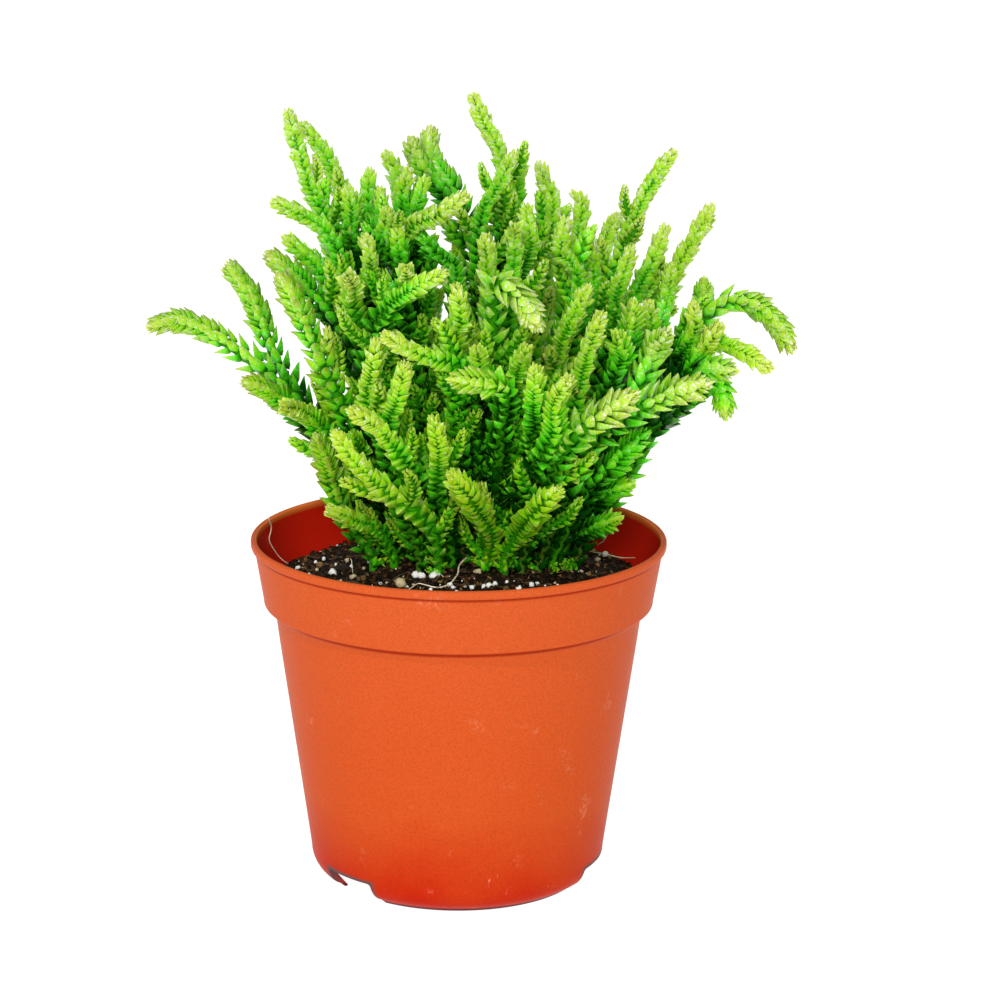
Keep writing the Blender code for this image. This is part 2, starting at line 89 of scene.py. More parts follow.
def eased(value: float) -> float:
    """Keep a number between 0 and 1, and ease it in and out."""
    share = clamp(value)
    return share * share * (3.0 - 2.0 * share)


def run_lengths(path: list[Vector]) -> list[float]:
    """Distance of each point from the first, measured along the path.

    Args:
        path: places in order.

    Returns:
        The distances, from 0 at the first place.
    """
    lengths = [0.0]
    for a, b in zip(path, path[1:]):
        lengths.append(lengths[-1] + (b - a).length)
    return lengths


def smooth_path(points: list, step: float) -> list[Vector]:
    """Catmull-Rom curve through the points, sampled about every step.

    Args:
        points: places that the curve passes through.
        step: distance between samples.

    Returns:
        The samples, both ends included.
    """
    knots = [Vector(p) for p in points]
    knots = [knots[0] * 2 - knots[1]] + knots + [knots[-1] * 2 - knots[-2]]
    dense = []
    for a, b, c, d in zip(knots, knots[1:], knots[2:], knots[3:]):
        for t in np.linspace(0.0, 1.0, 16, endpoint=False):
            dense.append(0.5 * (2 * b + (c - a) * t + (2 * a - 5 * b + 4 * c - d) * t ** 2
                                + (3 * b - a - 3 * c + d) * t ** 3))
    dense.append(knots[-2])
    lengths = run_lengths(dense)
    wanted = np.linspace(0.0, lengths[-1], max(3, round(lengths[-1] / step) + 1))
    coords = np.array([tuple(p) for p in dense])
    return [Vector([np.interp(w, lengths, coords[:, k]) for k in range(3)]) for w in wanted]


def arc_points(centre: tuple, radius: float, start: float, stop: float, steps: int) -> list[tuple]:
    """Points on an arc in a section, with angles in degrees from outwards towards upwards."""
    angles = np.radians(np.linspace(start, stop, steps + 1))
    return [(centre[0] + radius * math.cos(a), centre[1] + radius * math.sin(a)) for a in angles]


# ---------------------------------------------------------------------------------------------
# Nodes
# ---------------------------------------------------------------------------------------------
def linear(code: str) -> tuple[float, float, float, float]:
    """Turn a colour from sRGB, as "#rrggbb", into the linear values that Blender works in."""
    parts = [int(code[i:i + 2], 16) / 255.0 for i in (1, 3, 5)]
    return (*(p / 12.92 if p <= 0.04045 else ((p + 0.055) / 1.055) ** 2.4 for p in parts), 1.0)


def feed(node: Node, inputs: dict) -> None:
    """Set a node's inputs, by name or number, to values or link them to outputs.

    Args:
        node: the node.
        inputs: a value or an output for each name or number of an input.
    """
    for name, value in inputs.items():
        if isinstance(value, NodeSocket):
            node.id_data.links.new(value, node.inputs[name])
        else:
            node.inputs[name].default_value = value


def add_node(tree: NodeTree, kind: str, inputs: tuple | dict = (), output: int | str = 0,
             stops: tuple = (), **settings) -> NodeSocket:
    """Add a node with its settings and links.

    Args:
        tree: node tree of a material or of Geometry Nodes.
        kind: type name of the node.
        inputs: values, or outputs to link from, in the order of the inputs or by name or number.
        output: name or number of the output that is wanted.
        stops: places and colours, or places and grey values, of a colour ramp.
        **settings: properties of the node.

    Returns:
        The wanted output.
    """
    made = tree.nodes.new(kind)
    for name, value in settings.items():
        setattr(made, name, value)
    feed(made, inputs if isinstance(inputs, dict) else dict(enumerate(inputs)))
    for number, (place, colour) in enumerate(stops):
        elements = made.color_ramp.elements
        element = elements[number] if number < len(elements) else elements.new(place)
        element.position = place
        element.color = colour if isinstance(colour, tuple) else (colour, colour, colour, 1.0)
    return made.outputs[output]


class Skin:
    """A material under construction, with one way to add to it and one to finish it."""

    def __init__(self, name: str) -> None:
        """Start the material under its name.

        Args:
            name: the material's name.
        """
        self.material = bpy.data.materials.new(name)
        self.material.use_nodes = True
        self.tree = self.material.node_tree
        self.place = self.add("ShaderNodeTexCoord", output="Object")

    def add(self, *node, **settings) -> NodeSocket:
        """Add a node as add_node does."""
        return add_node(self.tree, *node, **settings)

    def carried(self, *names: str) -> list[NodeSocket]:
        """Return numbers that the mesh carries at each point, by their names."""
        return [self.add("ShaderNodeAttribute", output="Fac", attribute_name=name) for name in names]

    def grain(self, size_mm: float, detail: float = 2.0, roughness: float = 0.5,
              length: float = 1.0) -> NodeSocket:
        """Noise with features of a real size.

        Args:
            size_mm: size of a feature in millimetres.
            detail: octaves of finer noise.
            roughness: strength of the finer octaves.
            length: how many times taller than wide a feature is.

        Returns:
            The noise, about 0.5 on average.
        """
        fine = 1.0 / (size_mm * MM)
        place = self.add("ShaderNodeMapping", {"Vector": self.place, "Scale": (fine, fine, fine / length)})
        return self.add("ShaderNodeTexNoise", {"Vector": place, "Scale": 1.0, "Detail": detail,
                                               "Roughness": roughness}, "Fac")

    def finish(self, surface: dict, height: NodeSocket | None = None, strength: float = 0.0,
               depth_mm: float = 0.0) -> Material:
        """Set what the Principled BSDF reads.

        Args:
            surface: values and outputs by the names of its inputs.
            height: what its bump follows, if it has one.
            strength: strength of the bump.
            depth_mm: depth of the bump in millimetres.

        Returns:
            The finished material.
        """
        if height is not None:
            surface["Normal"] = self.add("ShaderNodeBump", {"Height": height, "Strength": strength,
                                                            "Distance": depth_mm * MM})
        feed(self.tree.nodes["Principled BSDF"], surface)
        return self.material


def new_group(name: str, inputs: dict) -> tuple[NodeTree, dict]:
    """Start a Geometry Nodes tree with a geometry input and output and named inputs.

    Args:
        name: name of the tree.
        inputs: socket type and default of each further input, by its name.

    Returns:
        The tree, and the outputs of its group input by name.
    """
    tree = bpy.data.node_groups.new(name, "GeometryNodeTree")
    for way in ("INPUT", "OUTPUT"):
        tree.interface.new_socket("Geometry", in_out=way, socket_type="NodeSocketGeometry")
    for label, (kind, default) in inputs.items():
        made = tree.interface.new_socket(label, in_out="INPUT", socket_type=f"NodeSocket{kind}")
        if default is not None:
            made.default_value = default
    start = tree.nodes.new("NodeGroupInput")
    return tree, {label: start.outputs[label] for label in ("Geometry", *inputs)}


def end_group(tree: NodeTree, *parts: NodeSocket) -> NodeTree:
    """Join a tree's parts and send them to its output.

    Args:
        tree: the tree.
        *parts: what to join.

    Returns:
        The finished tree.
    """
    both = tree.nodes.new("GeometryNodeJoinGeometry")
    for part in parts:
        tree.links.new(part, both.inputs[0])
    tree.links.new(both.outputs[0], tree.nodes.new("NodeGroupOutput").inputs[0])
    return tree


# ---------------------------------------------------------------------------------------------
# Meshes and pieces
# ---------------------------------------------------------------------------------------------
def to_mesh(bm: bmesh.types.BMesh, name: str, smooth: bool = True) -> Mesh:
    """Turn a closed BMesh into a mesh whose faces point outwards.

    Args:
        bm: the BMesh, which is freed.
        name: name of the mesh.
        smooth: whether its faces are shaded smooth.

    Returns:
        The mesh.
    """
    bmesh.ops.recalc_face_normals(bm, faces=bm.faces)
    mesh = bpy.data.meshes.new(name)
    bm.to_mesh(mesh)
    bm.free()
    if smooth:
        mesh.shade_smooth()
    return mesh


def bridge(bm: bmesh.types.BMesh, rings: list[list]) -> None:
    """Join rings of vertices, one to the next, with four-sided faces.

    Args:
        bm: mesh that they are in.
        rings: rings with as many vertices each.
    """
    for one, two in zip(rings, rings[1:]):
        for i in range(len(one)):
            j = (i + 1) % len(one)
            bm.faces.new((one[i], one[j], two[j], two[i]))


def new_object(name: str, data: Mesh | Light | Camera, material: Material | None = None) -> Object:
    """Put a mesh, a light or a camera in the scene, at the origin.

    Args:
        name: name of the object.
        data: its mesh, light or camera.
        material: material to give the mesh, if any.

    Returns:
        The object.
    """
    made = bpy.data.objects.new(name, data)
    if material is not None:
        data.materials.append(material)
    bpy.context.scene.collection.objects.link(made)
    return made


def bake_modifiers(obj: Object) -> None:
    """Replace an object's mesh by its evaluated one and drop the modifiers.

    Args:
        obj: object whose modifiers are all applied.
    """
    bpy.context.view_layer.update()
    graph = bpy.context.evaluated_depsgraph_get()
    mesh = bpy.data.meshes.new_from_object(obj.evaluated_get(graph))
    old = obj.data
    obj.modifiers.clear()
    obj.data = mesh
    bpy.data.meshes.remove(old)


def run_tree(obj: Object, tree: NodeTree, values: dict) -> None:
    """Run a Geometry Nodes tree on an object and keep its result as a plain mesh.

    Args:
        obj: object whose mesh is the input.
        tree: the tree.
        values: value of each named input.
    """
    modifier = obj.modifiers.new(tree.name, "NODES")
    modifier.node_group = tree
    for item in tree.interface.items_tree:
        if item.in_out == "INPUT" and item.name in values:
            modifier[item.identifier] = values[item.name]
    bake_modifiers(obj)


def make_templates(name: str, meshes: list[Mesh]) -> Collection:
    """Put template meshes in a collection of their own, for instancing.

    Args:
        name: name of the collection.
        meshes: templates in the order of their index.

    Returns:
        The collection.
    """
    collection = bpy.data.collections.new(name)
    for mesh in meshes:
        collection.objects.link(bpy.data.objects.new(mesh.name, mesh))
    return collection


def drop_templates(collection: Collection) -> None:
    """Remove a collection of templates with its objects.

    Args:
        collection: collection that make_templates made.
    """
    for obj in list(collection.objects):
        bpy.data.objects.remove(obj)
    bpy.data.collections.remove(collection)


def ride(obj: Object, slot: str, *nodes: str) -> None:
    """Fix a piece to the plant's one body.

    Args:
        obj: the finished piece.
        slot: not used.
        *nodes: CAD nodes that it stands for.
    """
    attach(obj, "root")
    if nodes:
        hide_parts(*nodes)
    LOG.info("%s: %d faces", obj.name, len(obj.data.polygons))


# ---------------------------------------------------------------------------------------------
# Finishes
# ---------------------------------------------------------------------------------------------
@dataclass(frozen=True)
class LeafSkin:
    """Skin of a succulent leaf: thin, waxy and half see-through at its edges."""

    deep: str = "#0b4e05"
    green: str = "#50dc02"
    fresh: str = "#a4e404"
    lime: str = "#bcd62a"
    # Colour of the pale flecks: partly the shoot's own pallor, partly painted pale light.
    pale_wash: str = "#dee8d2"
    margin: str = "#ecf490"
    # Colour of the painted glints.
    bead: str = "#f0f6dc"
    dried: str = "#7a5a2c"
    mottle_mm: float = 0.9
    papilla_mm: float = 0.4
    # Size of the specks of the painted glints and the pale flecks.
    glint_speck_mm: float = 0.7
    middle: float = 0.58
    translucent: float = 0.35
    light_depth_mm: float = 0.6

    def stage(self, skin: Skin, along: NodeSocket, mottle: NodeSocket) -> NodeSocket:
        """How far a point has turned from deep green to lime: more towards the tip and where its carried
        sun, which holds painted light and shade, is high.

        Args:
            skin: the leaf's material.
            along: how far along the leaf a point lies, from 0 to 1.
            mottle: soft clouds, from 0 to 1.

        Returns:
            The turn, from 0 to 1.
        """
        add = skin.add
        sun, age, chance = skin.carried("sun", "age", "chance")
        varied = add(MATH, (add(MATH, (chance, 0.16, -0.08), **TIMES_PLUS),
                            add(MATH, (mottle, 0.24, -0.12), **TIMES_PLUS)), **PLUS)
        reach = add(RAMP, (age,), stops=((0.0, 0.26), (0.28, 0.55)))
        lift = add(MATH, (add(MATH, (along, self.middle), operation="SUBTRACT"), reach), **TIMES)
        return add(MATH, (add(MATH, (sun, lift), **PLUS), varied), use_clamp=True, **PLUS)

    def build(self) -> Material:
        """Fleshy leaf: its green follows its age and its painted light and shade, its edges and its tip are
        paler, and it has painted glints and painted shade towards its base.

        Returns:
            The material of all leaves.
        """
        skin = Skin("waxy_succulent_leaf")
        add = skin.add
        along, edge, pale, dry = skin.carried("along", "edge", "pale", "dry")
        mottle, glint_specks = skin.grain(self.mottle_mm), skin.grain(self.glint_speck_mm)
        stage = self.stage(skin, along, mottle)
        colour = add(RAMP, (stage,), stops=((0.0, linear(self.deep)), (0.34, linear(self.green)),
                                            (0.66, linear(self.fresh)), (1.0, linear(self.lime))))
        # Pale flecks towards the tip where the leaf is lit: the shoot's own pallor and painted pale light
        # from above.
        near_tip = add(MATH, (add(MATH, (along, 2.0), operation="POWER"), 0.7, 0.3), **TIMES_PLUS)
        speckle = add(RAMP, (glint_specks,), stops=((0.48, 0.05), (0.62, 1.0)))
        pallor = add(MATH, (add(MATH, (near_tip, stage), **TIMES), speckle), **TIMES)
        pallor = add(MATH, (pale, add(MATH, (pallor, 2.0), **TIMES)), use_clamp=True, **TIMES)
        rim = add(MATH, (add(MATH, (stage, 2.0), operation="POWER"), 0.55), **TIMES)
        rim = add(MATH, (add(MATH, (edge, 4.0), operation="POWER"), rim), **TIMES)
        # Painted glints: bright specks on lit leaves.
        glint = add(MATH, (add(RAMP, (glint_specks,), stops=((0.6, 0.0), (0.66, 1.0))), 0.65), **TIMES)
        glint = add(MATH, (glint, stage), **TIMES)
        for share, paler in ((pallor, self.pale_wash), (rim, self.margin), (glint, self.bead)):
            colour = add(MIX, {0: share, 6: colour, 7: linear(paler)}, **BLEND)
        # Painted shade: darker towards the leaf's base, where the leaves above shade it.
        shade = add(RAMP, (along,), stops=((0.0, 0.6), (0.3, 1.0)))
        colour = add(MIX, {0: 1.0, 6: colour, 7: shade}, **TINT)
        tip = add(RAMP, (along,), stops=((0.45, 0.0), (0.95, 1.0)))
        withered = add(MATH, (dry, tip), **TIMES)
        colour = add(MIX, {0: withered, 6: colour, 7: linear(self.dried)}, **BLEND)
        return skin.finish({
            "Base Color": colour, "Roughness": add(MATH, (mottle, 0.22, 0.1), **TIMES_PLUS),
            "IOR": 1.42, "Specular IOR Level": 0.4, "Subsurface Weight": self.translucent,
            "Subsurface Radius": (1.0, 1.0, 0.6), "Subsurface Scale": self.light_depth_mm * MM,
        }, skin.grain(self.papilla_mm), 0.6, 0.09)


@dataclass(frozen=True)
class StemSkin:
    """Skin of the stem under its leaves: green where young, corky brown at its foot."""

    young: str = "#42a80e"
    corky: str = "#5a4420"
    streak_mm: float = 0.5
    streak_length: float = 5.0

    def build(self) -> Material:
        """Herbaceous stem: matte, with fine long streaks.

        Returns:
            The material of all stems.
        """
        skin = Skin("green_stem_skin")
        add = skin.add
        streaks = skin.grain(self.streak_mm, length=self.streak_length)
        old = add(MATH, (*skin.carried("age"), add(MATH, (streaks, 0.5, -0.25), **TIMES_PLUS)), **PLUS)
        stage = add(RAMP, (old,), stops=((0.55, 0.0), (0.95, 1.0)))
        colour = add(MIX, {0: stage, 6: linear(self.young), 7: linear(self.corky)}, **BLEND)
        shade = add(RAMP, (streaks,), stops=((0.3, 0.75), (0.7, 1.0)))
        colour = add(MIX, {0: 1.0, 6: colour, 7: shade}, **TINT)
        return skin.finish({"Base Color": colour, "Roughness": 0.55, "Specular IOR Level": 0.1},
                           streaks, 0.5, 0.15)


@dataclass(frozen=True)
class MouldedPolypropylene:
    """Thin injection-moulded polypropylene, coloured through like terracotta.

    Heights are shares of the pot's height. The painted shade lines under its band and under its lip
    are given where each starts, is full, is still full and ends, and the painted contact shadow at
    its foot where it stops being full and where it ends.
    """

    body: str = "#c44c1c"
    warm: str = "#c95628"
    # base is the darker red that paints shade towards the foot.
    base: str = "#b41e04"
    # inside is a deeper red that paints shade inside the pot, and lip a painted highlight along the top of
    # its rim.
    inside: str = "#dc200c"
    lip: str = "#f87834"
    chalk: str = "#ffc8a4"
    scuff: str = "#ffd8c0"
    # Colours and heights of the painted shade under the steps and the painted shadow at the foot and over the
    # notches.
    painted_crease_shade: tuple = (0.6, 0.26, 0.16, 1.0)
    painted_shadow: tuple = (0.12, 0.06, 0.06, 1.0)
    painted_foot_shadow: tuple = (0.007, 0.013)
    painted_shade_lines: tuple = ((0.793, 0.799, 0.808, 0.813), (0.966, 0.9695, 0.9735, 0.977))
    lip_line: tuple = (0.98, 0.99)
    speck_mm: float = 0.5
    cloud_mm: float = 22.0
    dust_mm: float = 9.0
    pore_mm: float = 0.8
    scratch_mm: float = 0.45
    scratch_length: float = 9.0
    worn_patch_mm: float = 13.0
    texture_mm: float = 0.35
    height: float = 88.5
    notch_turn: float = 48.0
    notch_pitch: float = 120.0
    notch_top: float = 6.2

    def over_notches(self, skin: Skin, x: NodeSocket, y: NodeSocket, z: NodeSocket) -> NodeSocket:
        """Mask of the painted shadow along the top edge of each of the three drainage notches.

        Args:
            skin: the pot's material.
            x: place across.
            y: place in depth.
            z: height.

        Returns:
            The mask, 1 in the painted shadow.
        """
        add = skin.add
        half = math.radians(self.notch_pitch / 2)
        turn = add(MATH, (x, add(MATH, (y, -1.0), **TIMES)), operation="ARCTAN2")
        turn = add(MATH, (turn, math.radians(self.notch_turn + 360.0)), **PLUS)
        off = add(MATH, (turn, half), operation="PINGPONG")
        near = add(RAMP, (add(MATH, (off, half), operation="DIVIDE"),), stops=((0.21, 1.0), (0.25, 0.0)))
        low = 0.1 * self.notch_top
        rise = add(MATH, (z, 10.0 * MM), operation="DIVIDE")
        edge = add(RAMP, (rise,), stops=((low + 0.05, 1.0), (low + 0.11, 0.0)))
        return add(MATH, (near, edge), **TIMES)

    def within(self, skin: Skin) -> NodeSocket:
        """Mask of what faces the pot's axis, its inside.

        Args:
            skin: the pot's material.

        Returns:
            The mask, 1 on the inside.
        """
        level = skin.add(VECTOR_MATH, (skin.place, (1.0, 1.0, 0.0)), **TIMES)
        normal = skin.add("ShaderNodeNewGeometry", output="Normal")
        inward = skin.add(VECTOR_MATH, (level, normal), "Value", operation="DOT_PRODUCT")
        share = skin.add(MATH, (inward, -50.0 * MM), operation="DIVIDE")
        return skin.add(RAMP, (share,), stops=((0.3, 0.0), (0.6, 1.0)))

    def painted_shade_stops(self) -> list[tuple]:
        """Stops of the painted shadow at the foot and of the painted shade under each step, from the foot up.

        Returns:
            Each stop's place and its colour.
        """
        stops = [(0.0, self.painted_shadow), *zip(self.painted_foot_shadow, (self.painted_shadow, WHITE))]
        for line in self.painted_shade_lines:
            stops += zip(line, (WHITE, self.painted_crease_shade, self.painted_crease_shade, WHITE))
        return stops

    def build(self) -> Material:
        """Satin plastic with a fine speckle, dust and marks from handling, painted shade towards its
        foot, under its steps and inside it, painted shadow at its foot and over its notches, and a
        painted highlight on its rim.

        Returns:
            The material of the pot.
        """
        skin = Skin("moulded_polypropylene")
        add, grain = skin.add, skin.grain
        x, y, z = (add("ShaderNodeSeparateXYZ", (skin.place,), axis) for axis in "XYZ")
        height = add(MATH, (z, self.height * MM), operation="DIVIDE")
        cloud = add(MATH, (grain(self.cloud_mm, 3.0), 0.24, -0.12), **TIMES_PLUS)
        # Painted shade: darker and redder towards the foot than at the rim.
        tones = ((0.0, linear(self.base)), (0.3, linear(self.body)), (1.0, linear(self.warm)))
        colour = add(RAMP, (add(MATH, (height, cloud), **PLUS),), stops=tones)
        speck = add(RAMP, (grain(self.speck_mm, 3.0, 0.7),), stops=((0.32, 0.84), (0.5, 1.0), (0.68, 1.1)))
        colour = add(MIX, {0: 1.0, 6: colour, 7: speck}, **TINT)
        dust = add(RAMP, (grain(self.dust_mm, 5.0, 0.65),), stops=((0.62, 0.0), (0.8, 0.28)))
        pores = add(RAMP, (grain(self.pore_mm),), stops=((0.42, 0.0), (0.62, 1.0)))
        chalk = add(MATH, (dust, pores), **TIMES)
        colour = add(MIX, {0: chalk, 6: colour, 7: linear(self.chalk)}, **BLEND)
        line = add(RAMP, (grain(self.scratch_mm, 1.0, length=self.scratch_length),),
                   stops=((0.7, 0.0), (0.76, 1.0)))
        where = add(RAMP, (grain(self.worn_patch_mm),), stops=((0.66, 0.0), (0.74, 0.35)))
        scratches = add(MATH, (line, where), **TIMES)
        colour = add(MIX, {0: scratches, 6: colour, 7: linear(self.scuff)}, **BLEND)
        # Painted shade under the band and the lip, and a painted contact shadow at the foot.
        painted_shade_stops = add(RAMP, (height,), stops=self.painted_shade_stops())
        colour = add(MIX, {0: 1.0, 6: colour, 7: painted_shade_stops}, **TINT)
        # Painted shadow along the top edge of each drainage notch.
        colour = add(MIX, {0: self.over_notches(skin, x, y, z), 6: colour, 7: self.painted_shadow}, **BLEND)
        # Faces towards the axis take a deeper red as painted shade, and the top of the rim a painted
        # highlight.
        depths = zip(self.lip_line, (linear(self.inside), linear(self.lip)))
        hollow = add(RAMP, (height,), stops=tuple(depths))
        colour = add(MIX, {0: self.within(skin), 6: colour, 7: hollow}, **BLEND)
        return skin.finish({"Base Color": colour, "Roughness": add(MATH, (chalk, 0.3, 0.42), **TIMES_PLUS),
                            "IOR": 1.49, "Specular IOR Level": 0.03}, grain(self.texture_mm), 0.2, 0.04)


@dataclass(frozen=True)
class PeatMix:
    """Damp sphagnum peat: near black, with brown crumbs and bits of bark."""

    black: str = "#0c0905"
    brown: str = "#271a0d"
    rust: str = "#6a4622"
    pale: str = "#a08c66"
    husk: str = "#a07e48"
    crumb_mm: float = 1.6
    damp_mm: float = 6.0
    fibre_mm: float = 0.5

    def build(self) -> Material:
        """Rough, dark and unevenly damp, so that some crumbs have a dull shine.

        Returns:
            The material of the mix and its crumbs.
        """
        skin = Skin("damp_peat")
        add = skin.add
        colour = add(RAMP, (skin.grain(self.crumb_mm, 4.0, 0.6),), stops=(
            (0.38, linear(self.black)), (0.56, linear(self.brown)), (0.7, linear(self.rust)),
            (0.82, linear(self.pale))))
        chance, = skin.carried("chance")
        bright = add(RAMP, (chance,), stops=((0.0, 0.6), (0.5, 1.0), (0.8, 2.4)))
        colour = add(MIX, {0: 1.0, 6: colour, 7: bright}, **TINT)
        husks = add(RAMP, (chance,), stops=((0.8, 0.0), (1.0, 0.75)))
        colour = add(MIX, {0: husks, 6: colour, 7: linear(self.husk)}, **BLEND)
        damp = add(RAMP, (skin.grain(self.damp_mm),), stops=((0.4, 0.5), (0.6, 0.95)))
        return skin.finish({"Base Color": colour, "Roughness": damp, "Specular IOR Level": 0.12},
                           skin.grain(self.fibre_mm, 4.0, 0.7), 0.9, 0.35)


@dataclass(frozen=True)
class DryBit:
    """Dry loose matter, such as expanded perlite, grit, bark or a dead root.

    patch says where its second colour starts and is full, and pit is the size, detail, strength
    and depth of its roughness.
    """

    name: str
    clean: str
    dirty: str
    patch: tuple = (0.5, 0.75)
    patch_mm: float = 0.9
    pit: tuple = (0.3, 3.0, 0.7, 0.15)
    roughness: float = 0.85

    def build(self) -> Material:
        """Matte and porous, with a second colour in patches.

        Returns:
            The material of one kind of grain or thread.
        """
        skin = Skin(self.name)
        patches = skin.add(RAMP, (skin.grain(self.patch_mm, 3.0),), stops=tuple(zip(self.patch, (0.0, 1.0))))
        colour = skin.add(MIX, {0: patches, 6: linear(self.clean), 7: linear(self.dirty)}, **BLEND)
        size, detail, strength, depth = self.pit
        return skin.finish({"Base Color": colour, "Roughness": self.roughness},
                           skin.grain(size, detail), strength, depth)


def dry_fibre(name: str, light: str, dark: str) -> DryBit:
    """Dead root or coir fibre: slightly silky, darker in patches along its length."""
    return DryBit(name, light, dark, (0.35, 0.7), 2.2, (0.25, 2.0, 0.6, 0.05), 0.6)


@dataclass(frozen=True)
class LitAcrylic:
    """Opal acrylic sheet, lit from behind so that no shadow shows on it."""

    colour: str = "#fbfbfa"
    body: str = "#8c8c8a"
    cloud_mm: float = 30.0

    def build(self) -> Material:
        """White, matte and glowing, with the faintest cloud in it.

        Returns:
            The material of the ground.
        """
        skin = Skin("lit_opal_acrylic")
        cloud = skin.add(RAMP, (skin.grain(self.cloud_mm),), stops=((0.3, 0.99), (0.7, 1.0)))
        glow, body = (skin.add(MIX, {0: 1.0, 6: linear(colour), 7: cloud}, **TINT)
                      for colour in (self.colour, self.body))
        return skin.finish({"Base Color": body, "Emission Color": glow, "Emission Strength": 1.0,
                            "Roughness": 0.9, "Specular IOR Level": 0.1})


# ---------------------------------------------------------------------------------------------
# Pot
# ---------------------------------------------------------------------------------------------
@dataclass
class Pot:
    """Thin nursery pot: a rolled lip, a wide band, a step in, and a body that tapers to its ring foot."""

    rim_radius: float = 52.5
    height: float = 88.5
    wall: float = 1.0
    floor: float = 7.4
    lip_depth: float = 2.2
    lip_inner_radius: float = 51.0
    lip_round: float = 0.7
    band_top_radius: float = 51.6
    band_foot_radius: float = 49.3
    band_foot_z: float = 72.75
    band_foot_round: float = 0.55
    body_top_radius: float = 46.35
    body_top_z: float = 69.3
    heel_radius: float = 37.55
    heel_z: float = 7.5
    heel_foot_z: float = 1.2
    base_radius: float = 32.5
    floor_corner: float = 2.5
    recess: float = 6.0
    foot_width: float = 1.1
    notch_angles: tuple = (-48.0, 72.0, 192.0)
    notch_size: tuple = (16.0, 12.0, 6.2)
    notch_corner: float = 0.9
    turn_steps: int = 180
    crisp_angle: float = 38.0

    def inner_wall(self, offset: float) -> list[tuple]:
        """Inside of the wall from the floor corner up to the band.

        Args:
            offset: how far in from the wall, in millimetres.

        Returns:
            Radius and height of each point.
        """
        inset = self.wall + offset
        base = self.heel_radius - inset - 1.6
        return [
            (base - self.floor_corner, self.floor + offset),
            (base - 0.5, self.floor + offset + 0.8),
            (base + 0.7, self.floor + offset + self.floor_corner),
            (self.heel_radius - inset, self.heel_z + 4.5),
            (self.body_top_radius - inset, self.body_top_z - 0.6),
            (self.band_foot_radius - inset - 0.9, self.band_foot_z - 0.6),
            (self.band_foot_radius - inset, self.band_foot_z + 1.2),
        ]

    def section(self) -> list[tuple]:
        """Whole section: up the inside, over the lip and down the outside.

        Returns:
            Radius and height of each point, in millimetres.
        """
        bead, lip_z, under_z = self.lip_round, self.height - self.lip_round, self.height - self.lip_depth
        rim, band_top, curl = self.rim_radius, self.band_top_radius, self.band_foot_round
        band, band_z, body, body_z = (self.band_foot_radius, self.band_foot_z, self.body_top_radius,
                                      self.body_top_z)
        heel_run, heel_rise = self.heel_radius - self.base_radius, self.heel_z - self.heel_foot_z
        heel = [(self.base_radius + heel_run * math.cos(a), self.heel_z - heel_rise * math.sin(a))
                for a in np.radians(np.linspace(0, 75, 8))]
        foot = self.base_radius - self.foot_width
        return [
            (0.0, self.floor), *self.inner_wall(0.0), (self.lip_inner_radius - 0.1, under_z),
            *arc_points((self.lip_inner_radius + bead, lip_z), bead, 180, 90, 6),
            *arc_points((rim - bead, lip_z), bead, 90, 0, 6),
            (rim, under_z + 0.7), (rim - 0.12, under_z + 0.3), (rim - 0.4, under_z),
            (band_top - 0.1, under_z - 0.15), (band_top - 0.12, under_z - 0.7), (band + 0.03, band_z + 0.2),
            *arc_points((band - curl, band_z - 0.35), curl, 0, -75, 4), (band - 1.7, band_z - 1.5),
            (body + 0.35, body_z + 1.2), (body, body_z), (body - 0.4, body_z - 3.0),
            (body - 0.9, body_z - 6.8), (self.heel_radius + 0.55, self.heel_z + 4.0), *heel,
            (self.base_radius, 0.3), (self.base_radius - 0.3, 0.08), (self.base_radius - 0.6, 0.0),
            (foot, 0.0), (foot - 0.1, 0.3), (foot + 2.2, 0.5 * self.recess),
            (foot + 3.8, self.recess - 1.0), (foot + 3.2, self.recess), (0.0, self.recess),
        ]

    def turned(self) -> Object:
        """Turn the section round the upright axis.

        Returns:
            The pot without its notches.
        """
        verts = [(radius * MM, 0.0, height * MM) for radius, height in self.section()]
        mesh = bpy.data.meshes.new("nursery_pot")
        mesh.from_pydata(verts, [(i, i + 1) for i in range(len(verts) - 1)], [])
        shell = new_object("nursery_pot", mesh)
        screw = shell.modifiers.new("turn", "SCREW")
        screw.steps = screw.render_steps = self.turn_steps
        screw.use_merge_vertices = True
        screw.merge_threshold = 0.01 * MM
        bake_modifiers(shell)
        return shell

    def cut_notches(self, shell: Object) -> None:
        """Cut the drainage notches through the heel, with their corners rounded.

        Args:
            shell: the turned pot.
        """
        width, depth, height = self.notch_size
        reach = self.base_radius + depth / 2 - 2.2
        for angle in np.radians(self.notch_angles):
            bm = bmesh.new()
            bmesh.ops.create_cube(bm, size=1.0)
            bmesh.ops.scale(bm, vec=Vector((width, depth, 2 * height)) * MM, verts=bm.verts)
            deep = [e for e in bm.edges if abs((e.verts[0].co - e.verts[1].co).y) > 0.5 * depth * MM]
            bmesh.ops.bevel(bm, geom=deep, offset=self.notch_corner * MM, segments=3, affect="EDGES",
                            profile=0.5)
            mesh = to_mesh(bm, "notch", False)
            mesh.transform(Matrix.Rotation(angle, 4, "Z") @ Matrix.Translation((0.0, -reach * MM, 0.0)))
            cutter = new_object("notch", mesh)
            cut = shell.modifiers.new("notch", "BOOLEAN")
            cut.operation, cut.solver, cut.object = "DIFFERENCE", "EXACT", cutter
            bake_modifiers(shell)
            bpy.data.objects.remove(cutter)

    def build(self) -> None:
        """Turn the pot, cut its notches and dress it."""
        shell = self.turned()
        shell.data.materials.append(MouldedPolypropylene(height=self.height).build())
        self.cut_notches(shell)
        shell.data.shade_smooth()
        shell.data.set_sharp_from_angle(angle=math.radians(self.crisp_angle))
        ride(shell, "terracotta_plastic", "pot")


